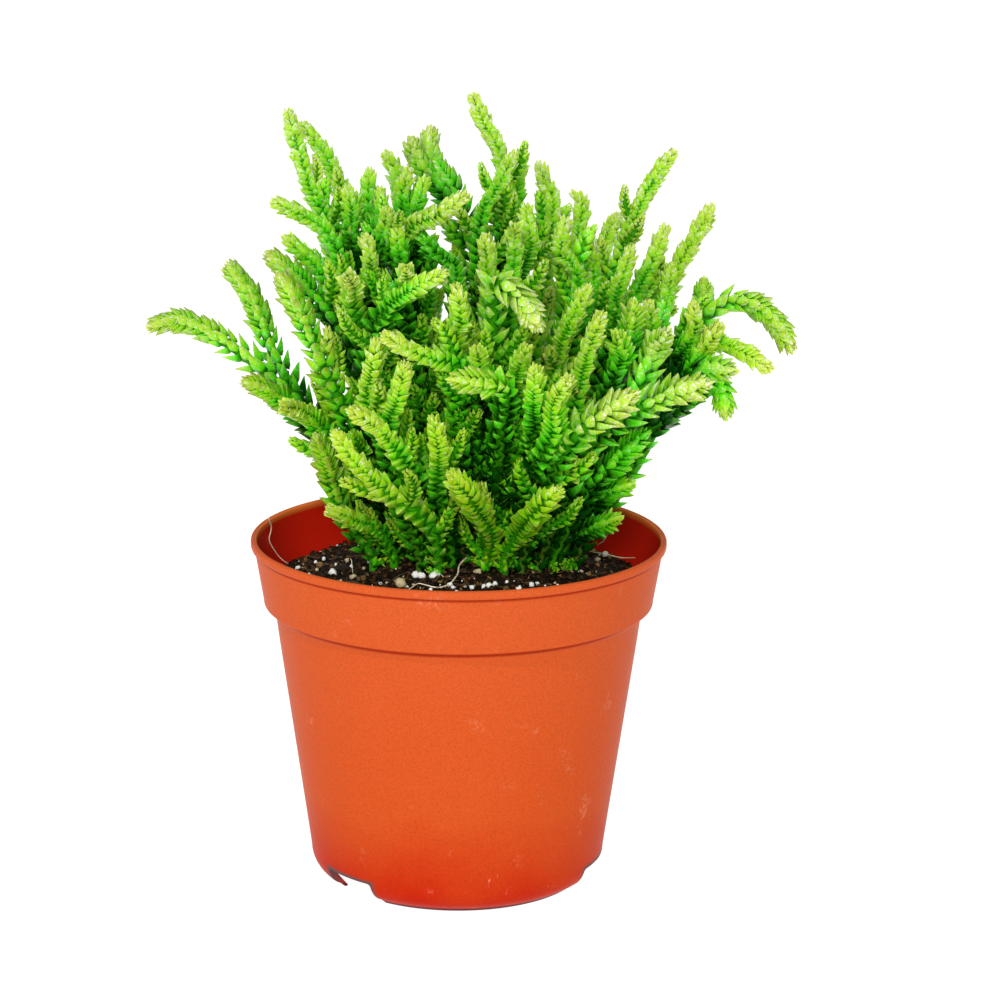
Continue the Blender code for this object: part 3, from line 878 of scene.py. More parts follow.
# ---------------------------------------------------------------------------------------------
# Potting mix and what lies on it
# ---------------------------------------------------------------------------------------------
@dataclass
class Ground:
    """Level of the potting mix: flat at the wall, with a low mound where the root ball is.

    lumps and crumb are the width and height of what roughens it. Next to the wall, within
    pressed_reach, it is pressed smoother, down to a share of pressed.
    """

    pot: Pot
    wall_level: float = 76.0
    crown_level: float = 81.5
    lumps: tuple = ((9.0, 1.1), (3.6, 0.9))
    crumb: tuple = (1.7, 1.1)
    settled: float = 0.2
    pressed: float = 0.35
    pressed_reach: float = 4.0

    def edge(self) -> float:
        """Radius of the mix where it meets the wall at its top.

        Returns:
            The radius, in millimetres.
        """
        pot = self.pot
        foot_radius = pot.band_foot_radius - pot.wall
        rise = (self.wall_level - pot.band_foot_z) / (pot.height - pot.lip_depth - pot.band_foot_z)
        return foot_radius + rise * (pot.lip_inner_radius - foot_radius) - 2 * CLEARANCE

    def level(self, x: float, y: float) -> float:
        """Smooth height of the mix at a place, in millimetres."""
        share = min(1.0, math.hypot(x, y) / self.edge())
        return self.wall_level + (self.crown_level - self.wall_level) * (1.0 - share ** 2)

    def rough_level(self, x: float, y: float) -> float:
        """Height of the mix with its lumps and crumbs, in millimetres.

        Args:
            x: place across.
            y: place in depth.

        Returns:
            The height there.
        """
        place = Vector((x, y, 0.0))
        lumps = sum(noise.noise(place / width) * height for width, height in self.lumps)
        width, height = self.crumb
        crumbs = abs(noise.noise(place / width + Vector((7.0, 3.0, 5.0)))) * height
        free = clamp((self.edge() - math.hypot(x, y)) / self.pressed_reach)
        rough = self.pressed + (1.0 - self.pressed) * free
        return self.level(x, y) - self.settled + (lumps + crumbs) * rough


def lump_mesh(name: str, seed: int, flatness: float, jag: float, fine: bool = True) -> Mesh:
    """Small irregular lump about one unit across, for grains and crumbs.

    Args:
        name: name of the mesh.
        seed: what makes this lump unlike the others.
        flatness: height over width.
        jag: how far the surface strays from a ball.
        fine: whether it has two dozen four-sided faces, or twenty triangles.

    Returns:
        A closed mesh.
    """
    bm = bmesh.new()
    if fine:
        bmesh.ops.create_cube(bm, size=1.0)
        bmesh.ops.subdivide_edges(bm, edges=bm.edges, cuts=1, use_grid_fill=True)
    else:
        bmesh.ops.create_icosphere(bm, subdivisions=1, radius=0.5)
    for vert in bm.verts:
        way = vert.co.normalized()
        swell = 0.5 * (1.0 + jag * noise.noise(way * 1.7 + Vector((seed * 3.1, seed * 1.3, 0.5))))
        vert.co = Vector((way.x * swell, way.y * swell * 0.85, way.z * swell * flatness))
    return to_mesh(bm, name, False)


@dataclass
class MixBed:
    """Potting mix: crumbly top with peat crumbs strewn over it, and sides that follow the pot."""

    ground: Ground
    ring_step: float = 0.9
    sectors: int = 160
    plain_chance: float = 0.35
    crumb_kinds: int = 5
    crumb_sizes: tuple = (0.4, 2.0)
    crumbs_per_mm2: float = 0.5
    scatter_seed: int = 5
    chance_seed: int = 77

    def bed(self) -> Mesh:
        """Return the closed body of the mix, with its top rough.

        Returns:
            The mesh, in metres.
        """
        edge = self.ground.edge()
        turns = np.linspace(0.0, 2 * math.pi, self.sectors, endpoint=False)
        bm = bmesh.new()
        top, chance = (bm.verts.layers.float.new(name) for name in ("top", "chance"))

        def top_vert(x: float, y: float) -> bmesh.types.BMVert:
            """Add a vertex of the rough top."""
            vert = bm.verts.new((x * MM, y * MM, self.ground.rough_level(x, y) * MM))
            vert[top], vert[chance] = 1.0, self.plain_chance
            return vert

        centre = top_vert(0.0, 0.0)
        rings = round(edge / self.ring_step)
        loops = [[top_vert(edge * (i + 1) / rings * math.cos(t), edge * (i + 1) / rings * math.sin(t))
                  for t in turns] for i in range(rings)]
        side = self.ground.pot.inner_wall(CLEARANCE)[-2::-1]
        loops += [[bm.verts.new((radius * math.cos(t) * MM, radius * math.sin(t) * MM, height * MM))
                   for t in turns] for radius, height in side]
        floor = bm.verts.new((0.0, 0.0, side[-1][1] * MM))
        for i in range(self.sectors):
            j = (i + 1) % self.sectors
            bm.faces.new((centre, loops[0][i], loops[0][j]))
            bm.faces.new((floor, loops[-1][j], loops[-1][i]))
            for inner, outer in zip(loops, loops[1:]):
                bm.faces.new((inner[i], outer[i], outer[j], inner[j]))
        return to_mesh(bm, "peat_bed")

    def strewing(self) -> NodeTree:
        """Geometry Nodes tree that strews grains over a surface and keeps the surface too.

        Returns:
            The tree, whose inputs are named for what they set.
        """
        tree, given = new_group("strewn_grains", {
            "Grains": ("Collection", None), "Density": ("Float", 1.0), "Smallest": ("Float", 0.5),
            "Largest": ("Float", 2.0), "Seed": ("Int", 1), "Finish": ("Material", None)})
        surface, seed = given["Geometry"], given["Seed"]
        top = add_node(tree, "GeometryNodeInputNamedAttribute", {"Name": "top"}, data_type="FLOAT")
        points = add_node(tree, "GeometryNodeDistributePointsOnFaces",
                          {"Mesh": surface, "Selection": top, "Density": given["Density"], "Seed": seed})
        lumps = add_node(tree, "GeometryNodeCollectionInfo", {
            "Collection": given["Grains"], "Separate Children": True, "Reset Children": True})
        chance = add_node(tree, "FunctionNodeRandomValue", {"Seed": seed}, 1, data_type="FLOAT")
        small = add_node(tree, MATH, (chance, 3.0), operation="POWER")
        span = add_node(tree, MATH, (given["Largest"], given["Smallest"]), operation="SUBTRACT")
        size = add_node(tree, MATH, (small, span, given["Smallest"]), **TIMES_PLUS)
        spin = add_node(tree, "FunctionNodeRandomValue",
                        {"Min": (0.0,) * 3, "Max": (6.28,) * 3, "Seed": seed}, data_type="FLOAT_VECTOR")
        lot = add_node(tree, "FunctionNodeRandomValue", {"Seed": self.chance_seed}, 1, data_type="FLOAT")
        marked = add_node(tree, "GeometryNodeStoreNamedAttribute",
                          {"Geometry": points, "Name": "chance", "Value": lot},
                          data_type="FLOAT", domain="POINT")
        strewn = add_node(tree, "GeometryNodeInstanceOnPoints", {
            "Points": marked, "Instance": lumps, "Pick Instance": True, "Rotation": spin, "Scale": size})
        real = add_node(tree, "GeometryNodeRealizeInstances", (strewn,))
        return end_group(tree, *(add_node(tree, "GeometryNodeSetMaterial",
                                          {"Geometry": part, "Material": given["Finish"]})
                                 for part in (surface, real)))

    def build(self) -> None:
        """Make the mix with its crumbs."""
        bed = new_object("peat_bed", self.bed())
        crumbs = make_templates("crumbs", [lump_mesh(f"crumb_{i}", i, 0.6 + 0.1 * i, 0.9, False)
                                           for i in range(self.crumb_kinds)])
        smallest, largest = self.crumb_sizes
        run_tree(bed, self.strewing(), {
            "Grains": crumbs, "Density": self.crumbs_per_mm2 / MM ** 2, "Smallest": smallest * MM,
            "Largest": largest * MM, "Seed": self.scatter_seed, "Finish": PeatMix().build()})
        drop_templates(crumbs)
        ride(bed, "peat_mix", "potting_mix")


@dataclass(frozen=True)
class Scattering:
    """One kind of grain on the mix: how big, how many, and where the clear ones lie.

    spots are the clear ones' x, y and size in millimetres.
    """

    name: str
    finish: DryBit
    smallest: float
    largest: float
    count: int
    seed: int
    flatness: float
    jag: float
    spots: tuple


class GrainKind(Enum):
    """Grains that lie on the mix."""

    PERLITE = Scattering(
        "perlite_grains", DryBit("expanded_perlite", "#fbfaf4", "#cfc6b0", (0.62, 0.87)),
        0.4, 1.3, 95, 11, 0.8, 0.65, (
            (-10.9, -12.4, 2.3), (-9.3, -13.2, 2.1), (-6.3, -13.0, 2.7), (-4.9, -12.6, 2.2),
            (-31.8, -4.7, 2.2), (-2.2, -21.0, 1.5), (-1.4, -22.6, 1.3), (3.3, -19.3, 1.4), (6.2, -18.8, 1.3),
            (7.6, -18.0, 1.6), (9.0, -17.8, 1.5), (15.0, -20.2, 2.1), (18.2, -15.6, 1.6), (19.6, -14.2, 1.2),
            (-0.4, -24.0, 1.2), (1.6, -18.6, 0.9), (12.0, -16.5, 1.0), (-19.5, -14.0, 1.1),
            (-22.5, 21.0, 2.4), (14.0, 40.5, 2.2), (38.0, 21.5, 1.8), (-12.0, 44.0, 1.9), (-41.0, 8.5, 1.7)))
    GRIT = Scattering(
        "grit_grains", DryBit("weathered_grit", "#cdbb92", "#6e5836", (0.5, 0.75)),
        0.3, 1.0, 170, 23, 0.7, 0.6, (
            (-14.4, -17.5, 3.3), (-26.5, -9.6, 2.0), (-28.6, 8.3, 1.6), (4.8, -9.8, 2.3), (15.7, -5.5, 1.8),
            (27.1, 6.5, 1.7), (35.6, 13.8, 1.6), (-24.0, -1.0, 1.1), (-36.0, 3.0, 1.2), (31.0, -4.0, 1.1)))
    BARK = Scattering(
        "bark_bits", DryBit("composted_bark", "#57321a", "#1d1209", (0.36, 0.61)),
        0.6, 1.8, 90, 37, 0.45, 0.9, (
            (-21.0, -8.0, 2.0), (-24.0, 2.0, 1.8), (-17.5, -12.5, 2.2), (22.5, -6.0, 2.0), (33.0, 3.0, 1.8),
            (1.2, -10.5, 2.4), (3.6, -13.0, 2.0), (-6.0, -17.6, 1.8), (28.0, -9.0, 1.7)))


@dataclass
class Litter:
    """Loose grains on the mix: perlite, grit and bark.

    stand is how high a grain's middle lies, in its sizes, and tilt how far it may lean, in radians.
    """

    ground: Ground
    stand: float = 0.3
    tilt: float = 0.6

    def grains(self, kind: Scattering) -> None:
        """Lay one kind of grain, the clear ones first and the rest at random.

        Args:
            kind: what to lay.
        """
        draw = random.Random(kind.seed)
        places = list(kind.spots)
        while len(places) < len(kind.spots) + kind.count:
            turn, radius = draw.uniform(0, 2 * math.pi), self.ground.edge() * math.sqrt(draw.random())
            size = kind.smallest + (kind.largest - kind.smallest) * draw.random() ** 2
            if radius < self.ground.edge() - size:
                places.append((radius * math.cos(turn), radius * math.sin(turn), size))
        bm = bmesh.new()
        for number, (x, y, size) in enumerate(places):
            lump = lump_mesh("grain", kind.seed + number, kind.flatness, kind.jag)
            lean = (-self.tilt, self.tilt)
            spin = Euler([draw.uniform(*angles) for angles in (lean, lean, (0, 6.28))])
            place = Vector((x, y, self.ground.rough_level(x, y) + size * self.stand))
            lump.transform(Matrix.LocRotScale(place * MM, spin, Vector((size,) * 3) * MM))
            bm.from_mesh(lump)
            bpy.data.meshes.remove(lump)
        ride(new_object(kind.name, to_mesh(bm, kind.name), kind.finish.build()), "peat_mix")

    def build(self) -> None:
        """Lay every kind of grain."""
        for kind in GrainKind:
            self.grains(kind.value)


@dataclass(frozen=True)
class Strand:
    """A loose root: its thickest radius and its points, in millimetres.

    A point's third value is its height over the mix, or over the table if it is absolute.
    """

    name: str
    radius: float
    points: tuple
    absolute: bool = False


@dataclass
class Roots:
    """Hair roots and fibres that lie on the mix or lean on the wall."""

    ground: Ground
    sides: int = 8
    step: float = 0.7
    strands: tuple = (
        Strand("root_thread_front", 0.2, (
            (2.1, -6.0, 3.2), (0.2, -9.5, 2.2), (-0.2, -13.5, 1.4), (-0.9, -16.8, 1.3), (-2.1, -20.8, 1.3),
            (-3.9, -23.0, 1.3), (-5.8, -23.2, 1.3), (-8.3, -21.6, 1.4), (-10.1, -20.8, 1.5),
            (-11.5, -22.4, 1.2), (-13.4, -24.0, 0.8))),
        Strand("root_thread_left", 0.15, (
            (-48.6, 9.8, 90.4), (-48.0, 12.2, 87.2), (-48.6, 12.4, 84.0), (-47.4, 13.6, 80.9),
            (-45.6, 14.6, 78.2), (-43.0, 14.0, 76.6)), True),
        Strand("root_thread_right", 0.18, (
            (39.8, 28.0, 86.2), (39.2, 28.4, 83.2), (38.2, 29.2, 80.0), (36.0, 29.6, 78.2)), True),
        Strand("root_thread_side", 0.17, (
            (34.0, 25.5, 0.5), (38.0, 22.5, 0.9), (42.0, 19.8, 1.2), (45.5, 17.0, 2.4))),
        Strand("root_thread_small", 0.13, (
            (-27.7, 6.7, 1.0), (-27.2, 2.4, 1.5), (-26.9, -2.6, 1.1), (-26.6, -6.4, 0.5))),
        Strand("root_thread_back", 0.13, ((23.2, 33.0, 1.6), (23.8, 30.0, 1.2), (24.2, 26.0, 0.4))),
    )
    fibre_count: int = 150
    fibre_points: int = 7
    fibre_seed: int = 71
    fibre_lengths: tuple = (2.0, 7.0)
    fibre_radii: tuple = (0.05, 0.13)
    wall_gap: float = 3.0

    def tube(self, bm: bmesh.types.BMesh, path: list[Vector], radius: float) -> None:
        """Add a round strand with thin ends to a mesh.

        Args:
            bm: mesh to add to.
            path: points in millimetres.
            radius: thickest radius in millimetres.
        """
        last = len(path) - 1
        rings = []
        for i, place in enumerate(path):
            way = (path[min(last, i + 1)] - path[max(0, i - 1)]).normalized()
            side = way.cross(Vector((0.13, 0.21, 1.0))).normalized()
            over = side.cross(way)
            thick = radius * (0.45 + 0.55 * math.sin(math.pi * min(1.0, 0.12 + i / last)) ** 0.5)
            rings.append([bm.verts.new((place + (side * math.cos(a) + over * math.sin(a)) * thick) * MM)
                          for a in np.linspace(0.0, 2 * math.pi, self.sides, endpoint=False)])
        bridge(bm, rings)
        bm.faces.new(rings[0][::-1])
        bm.faces.new(rings[-1])

    def fibres(self) -> None:
        """Strew short coir and peat fibres over the mix."""
        draw = random.Random(self.fibre_seed)
        reach = self.ground.edge() - self.wall_gap
        bm = bmesh.new()
        last = self.fibre_points - 1
        for _ in range(self.fibre_count):
            turn, radius = draw.uniform(0, 2 * math.pi), reach * math.sqrt(draw.random())
            x, y = radius * math.cos(turn), radius * math.sin(turn)
            way, bend = draw.uniform(0, 6.28), draw.uniform(-0.5, 0.5)
            length = draw.uniform(*self.fibre_lengths)
            path = []
            for i in range(self.fibre_points):
                lift = 0.25 + draw.uniform(0.0, 0.5) + 0.9 * math.sin(math.pi * i / last) * draw.random()
                if math.hypot(x, y) > self.ground.edge() - 1.0:
                    break
                path.append(Vector((x, y, self.ground.rough_level(x, y) + lift)))
                way += bend * 0.4 + draw.uniform(-0.15, 0.15)
                x, y = x + math.cos(way) * length / last, y + math.sin(way) * length / last
            if len(path) > 3:
                self.tube(bm, path, draw.uniform(*self.fibre_radii))
        finish = dry_fibre("coir_fibre", "#7a5a34", "#2e1e10").build()
        ride(new_object("peat_fibres", to_mesh(bm, "peat_fibres"), finish), "pale_root")

    def build(self) -> None:
        """Lay every root thread and the fibres."""
        for strand in self.strands:
            points = [Vector((x, y, z if strand.absolute else z + self.ground.level(x, y)))
                      for x, y, z in strand.points]
            bm = bmesh.new()
            self.tube(bm, smooth_path(points, self.step), strand.radius)
            thread = new_object(strand.name, to_mesh(bm, strand.name),
                                dry_fibre(strand.name, "#fff2d8", "#e2c69a").build())
            nodes = [strand.name] if strand.name in frame["nodes"] else []
            ride(thread, "pale_root", *nodes)
        self.fibres()


# ---------------------------------------------------------------------------------------------
# Growth: where every shoot runs
# ---------------------------------------------------------------------------------------------
@dataclass(frozen=True)
class LeafHabit:
    """How a shoot carries its leaves.

    club_pitch and low_pitch are the spacing of the pairs in millimetres, length that of a grown
    leaf, and spread the angle that it makes with the stem in degrees. sun is the shade of green
    from deep to lime. phase turns the leaf rows from the front, in degrees. open_kind is the kind
    of the grown leaves. Young side shoots come every sprout_gap, from bare_tip below the tip. The
    shoot opens from its club of close leaves between open_from and open_from + open_over. dimming
    is how much painted shade darkens and greens it where it grows in the shade or at the foot.
    """

    club_pitch: float = 0.54
    low_pitch: float = 1.7
    length: float = 4.4
    spread: float = 48.0
    sun: float = 0.78
    pale: float = 0.1
    dry: float = 0.0
    phase: float = 0.0
    open_kind: int = 2
    sprout_gap: float = 6.0
    bare_tip: float = 20.0
    open_from: float = 12.0
    open_over: float = 35.0
    dimming: float = 1.0

    def open_share(self, from_tip: float) -> float:
        """How far the shoot has opened at a distance from its tip, from 0 to 1."""
        return eased((from_tip - self.open_from) / self.open_over)

    def pitch(self, from_tip: float) -> float:
        """Spacing of the pairs at a distance from the tip."""
        club = self.club_pitch * min(1.0, 0.6 + from_tip / 10.0)
        return club + (self.low_pitch - self.club_pitch) * self.open_share(from_tip)


class Habit(Enum):
    """Leaf habits seen in the clump."""

    CLUB = LeafHabit(phase=45.0)
    BRAID = LeafHabit(0.54, 1.9, 4.7, 50.0, 0.82, 0.05, phase=45.0, open_from=10.0, open_over=20.0)
    LIME = LeafHabit(0.56, 0.95, 5.0, 54.0, 0.68, 0.0, phase=45.0, open_kind=3, bare_tip=24.0, open_from=2.0,
                     open_over=9.0, dimming=0.1)
    OPEN = LeafHabit(0.6, 2.1, 5.0, 54.0, 0.76, 0.2, 0.2, open_kind=4, bare_tip=55.0, open_over=16.0)
    PALE = LeafHabit(0.75, 2.4, 6.0, 50.0, 0.82, 0.45, open_kind=3, bare_tip=40.0, open_from=4.0,
                     open_over=18.0)
    RAGGED = LeafHabit(0.62, 2.0, 5.0, 52.0, 0.7, 0.1, 0.5, open_kind=4, bare_tip=18.0, open_from=7.0,
                       open_over=22.0)
    CHEVRON = LeafHabit(0.7, 2.1, 5.4, 52.0, 0.76, 0.12, open_kind=3, bare_tip=40.0, open_from=5.0,
                        open_over=25.0)
    SPROUT = LeafHabit(1.1, 1.5, 4.3, 52.0, 0.84, 0.05, phase=45.0, open_from=2.0, open_over=8.0, dimming=0.8)
    SPRIG = LeafHabit(1.2, 1.8, 4.8, 60.0, 0.7, 0.0, phase=45.0, open_from=1.0, open_over=5.0)


# The habits of a stem's shoots in their order, the last one for the rest. A stem that is not named
# has clubs.
HABITS = {
    "left_arch": (Habit.OPEN, Habit.OPEN, Habit.RAGGED),
    "right_low": (Habit.PALE, Habit.BRAID, Habit.OPEN),
}
for _habit, _stems in {
    Habit.BRAID: "left_rosette left_foot crown_bright centre_arch rosette_left rosette_middle middle_front "
                 "right_fan right_thick front_left front_branch front_bright front_long front_upright "
                 "front_twin front_right",
    Habit.CHEVRON: "right_notch right_side right_foot front_arch",
    Habit.LIME: "front_low_left front_low_right",
    Habit.OPEN: "crown_fork right_arch",
    Habit.PALE: "middle_braid right_pale right_pale_front",
    Habit.RAGGED: "left_fan left_ragged left_low",
}.items():
    HABITS.update(dict.fromkeys(_stems.split(), (_habit,)))

# Where young shoots deep in the clump end, by the stem that they grow from.
INNER_SHOOTS = {
    "back_middle": ((-4.5, 39.0, 144.0), (-3.0, 37.0, 136.0), (-6.5, 45.0, 157.0)),
    "crown_middle": ((-5.2, 11.2, 149.0),),
    "crown_fork": ((-4.6, 18.0, 166.5), (-1.4, 17.9, 159.0)),
    "left_tall": ((-33.4, 10.2, 177.0),),
    "left_arch": ((-37.5, 0.4, 117.0), (-42.0, 0.4, 113.0)),
    "right_fan": ((54.4, 13.6, 144.5),),
    "top_right": ((15.6, 23.5, 138.0), (14.2, 23.3, 132.0), (20.0, 25.4, 171.5), (27.4, 25.4, 168.5)),
    "top_pair": ((16.4, 16.8, 139.0), (14.6, 16.8, 134.0)),
    "right_inner": ((30.0, 5.0, 138.5), (33.2, 8.2, 166.0)),
    "right_tall": ((29.6, 14.5, 136.0), (35.0, 14.1, 124.0)),
    "right_upper": ((34.8, 8.5, 125.5), (30.2, 7.2, 138.0)),
    "back_centre": ((15.8, 42.5, 131.0),),
}

# Points that each shoot passes through on its way up, in millimetres; the first shoot of a stem rises
# from the mix and the others branch off it.
STEMS = {
    "left_tall": [
        [(-26, 11, 139), (-31, 10, 162), (-38, 10, 177), (-43, 10, 194)],
        [(-28, 21, 165), (-33, 24, 179), (-40, 25, 189)],
    ],
    "left_upper": [
        [(-26, 8, 147), (-32, 5, 164), (-40, 3, 170), (-46, 2, 173)],
        [(-28, 0, 146), (-35, -2, 157), (-43, -4, 165)],
    ],
    "left_fan": [[(-23, 0, 124), (-30, -4, 143), (-39, -8, 155), (-47, -10, 162)]],
    "left_ragged": [[(-26, -6, 117), (-32, -12, 131), (-39, -16, 149), (-44, -16, 158)]],
    "left_arch": [
        [(-36, 0, 117), (-47, 0, 129), (-59, 2, 138), (-69, 2, 143), (-77, 0, 142)],
        [(-46, 7, 132), (-52, 9, 147), (-58, 9, 156)],
        [(-47, -7, 127), (-53, -9, 130)],
    ],
    "left_rosette": [[(-33, -6, 115), (-39, -12, 123), (-43, -19, 126)]],
    "left_low": [[(-27, -5, 92), (-31, -10, 103), (-33, -15, 112), (-35, -18, 118)]],
    "left_foot": [[(-20, -6, 91), (-27, -12, 96), (-32, -15, 99)]],
    "crown_left": [
        [(-27, 8, 155), (-27, 6, 169), (-28, 5, 176)],
        [(-22, -10, 157), (-23, -13, 167)],
    ],
    "crown_pair": [
        [(-21, 14, 149), (-23, 18, 169), (-23, 20, 178)],
        [(-20, 9, 156), (-20, 9, 166), (-20, 8, 175)],
    ],
    "crown_back": [[(-14, 26, 157), (-16, 28, 174), (-19, 29, 181)]],
    "crown_fork": [
        [(4, 18, 150), (0, 18, 169), (-3, 18, 175), (-8, 19, 181), (-8, 22, 188)],
        [(-9, 18, 180), (-11, 17, 183), (-12, 16, 187)],
    ],
    "crown_middle": [
        [(-13, 10, 158), (-14, 9, 173), (-13, 8, 180)],
        [(-11, 8, 172), (-9, 8, 178)],
        [(-11, 1, 162), (-10, -2, 170)],
    ],
    "crown_bright": [[(-15, -3, 154), (-12, -9, 168), (-5, -14, 173), (1, -16, 178)]],
    "crown_low": [
        [(-14, -9, 158), (-15, -12, 170)],
        [(-18, -2, 162), (-18, -4, 172)],
    ],
    "rosette_left": [[(-25, -11, 145), (-26, -19, 155), (-27, -27, 160)]],
    "rosette_middle": [[(-14, -13, 147), (-13, -20, 156), (-13, -28, 162)]],
    "centre_left": [[(-1, -4, 152), (-6, -8, 162), (-10, -10, 167)]],
    "centre_arch": [[(-20, -12, 137), (-17, -20, 151), (-11, -26, 157), (-4, -28, 161)]],
    "top_tall": [[(11, 12, 166), (10, 12, 183), (6, 12, 191), (3, 12, 198)]],
    "top_bent": [[(5, 9, 150), (5, 8, 167), (10, 5, 178), (13, 3, 185)]],
    "top_pair": [
        [(13, 16, 163), (14, 15, 174), (15, 15, 180)],
        [(17, 0, 162), (16, -2, 173)],
    ],
    "top_right": [[(23, 25, 161), (22, 26, 172), (20, 26, 179)]],
    "top_back": [[(30, 34, 159), (29, 36, 170)]],
    "middle_high": [[(13, -9, 158), (13, -14, 170)]],
    "middle_left": [[(7, -12, 150), (6, -18, 168)]],
    "middle_front": [[(-1, -22, 140), (0, -28, 150), (-1, -30, 158)]],
    "middle_braid": [[(8, -20, 149), (9, -27, 158), (14, -32, 156), (19, -34, 149)]],
    "right_tall": [
        [(37, 14, 147), (42, 14, 163), (47, 14, 175), (53, 14, 184)],
        [(36, 25, 156), (40, 27, 166)],
    ],
    "right_upper": [
        [(38, 6, 137), (44, 5, 150), (48, 4, 159), (51, 4, 167)],
        [(39, -2, 151), (42, -4, 163)],
    ],
    "right_fan": [[(47, 14, 137), (53, 15, 151), (59, 16, 162), (63, 16, 170)]],
    "right_inner": [
        [(29, 4, 148), (25, 2, 161), (26, 2, 169)],
        [(33, 9, 152), (32, 8, 162)],
    ],
    "right_front_high": [[(24, -13, 136), (27, -18, 147), (31, -20, 156)]],
    "right_front_long": [[(28, -22, 128), (31, -29, 143), (34, -33, 152)]],
    "right_twin": [
        [(45, -8, 131), (47, -11, 141), (46, -14, 151)],
        [(51, -1, 149), (52, -2, 158)],
    ],
    "right_arch": [
        [(53, 3, 132), (63, 2, 147), (71, 0, 149), (78, -3, 145), (82, -5, 138)],
        [(60, 5, 145), (61, 5, 153)],
    ],
    "right_thick": [
        [(50, -5, 134), (59, -9, 141), (69, -12, 139), (76, -14, 135)],
        [(57, -13, 143), (57, -15, 151)],
    ],
    "right_low": [
        [(53, -14, 129), (60, -19, 135), (67, -22, 136)],
        [(59, -17, 139), (63, -20, 147)],
        [(62, -19, 133), (65, -21, 125)],
    ],
    "right_pale": [
        [(31, -16, 114), (40, -25, 125), (51, -30, 132), (60, -31, 135)],
        [(46, -23, 139), (50, -27, 147)],
    ],
    "right_pale_front": [[(22, -21, 110), (27, -31, 121), (34, -37, 128), (42, -39, 134)]],
    "right_notch": [
        [(38, -20, 134), (38, -26, 146)],
        [(41, -18, 142), (42, -22, 153)],
    ],
    "right_side": [[(31, -8, 101), (38, -14, 111), (46, -16, 119)]],
    "right_foot": [
        [(31, -3, 95), (37, -7, 102), (43, -9, 105)],
        [(35, -7, 93), (40, -10, 96)],
    ],
    "front_left": [
        [(-17, -23, 119), (-15, -32, 131), (-13, -36, 140)],
        [(-22, -25, 129), (-21, -30, 138), (-20, -32, 145)],
    ],
    "front_branch": [[(4, -18, 127), (-1, -27, 138), (-10, -32, 142), (-18, -34, 147)]],
    "front_arch": [[(10, -10, 103), (10, -22, 119), (11, -34, 133), (5, -40, 137), (-2, -42, 138)]],
    "front_bright": [[(-13, -19, 110), (-19, -32, 123), (-26, -36, 129)]],
    "front_long": [[(-7, -16, 96), (-18, -27, 107), (-25, -31, 115), (-30, -31, 122)]],
    "front_upright": [[(-5, -17, 104), (-5, -28, 117), (-6, -32, 126)]],
    "front_low_left": [[(8, -12, 92), (3, -25, 104), (-2, -30, 112)]],
    "front_low_right": [[(13, -9, 89), (19, -26, 102), (24, -30, 108)]],
    "front_twin": [
        [(14, -17, 124), (14, -28, 137), (16, -34, 144)],
        [(6, -25, 135), (4, -31, 143)],
    ],
    "front_right": [
        [(18, -20, 116), (18, -34, 131), (18, -38, 140)],
        [(23, -30, 120), (23, -37, 131), (26, -41, 138)],
    ],
    "back_left": [
        [(-24, 26, 120), (-33, 34, 146)],
        [(-22, 38, 108), (-29, 46, 120)],
        [(-20, 38, 126), (-25, 48, 139)],
    ],
    "back_middle": [
        [(-6, 34, 122), (-9, 45, 152)],
        [(-10, 46, 114), (-14, 57, 122), (-17, 61, 119)],
        [(2, 42, 132), (4, 51, 142)],
        [(-14, 38, 134), (-18, 44, 148)],
    ],
    "back_centre": [
        [(8, 36, 124), (10, 46, 156)],
        [(8, 48, 110), (10, 60, 122), (11, 67, 120)],
        [(14, 46, 134), (18, 54, 144)],
    ],
    "back_right": [
        [(22, 30, 122), (30, 41, 150)],
        [(27, 42, 108), (34, 53, 118), (39, 57, 116)],
        [(34, 34, 126), (43, 39, 137)],
        [(22, 48, 118), (26, 58, 128)],
    ],
}


@dataclass
class Shoot:
    """One shoot: its stem, the shoot and sample that it forks off, its path and its habit."""

    stem: str
    join: tuple | None
    path: list
    habit: LeafHabit
    radii: list = field(default_factory=list)
    shade: list = field(default_factory=list)
    scale: float = 1.0


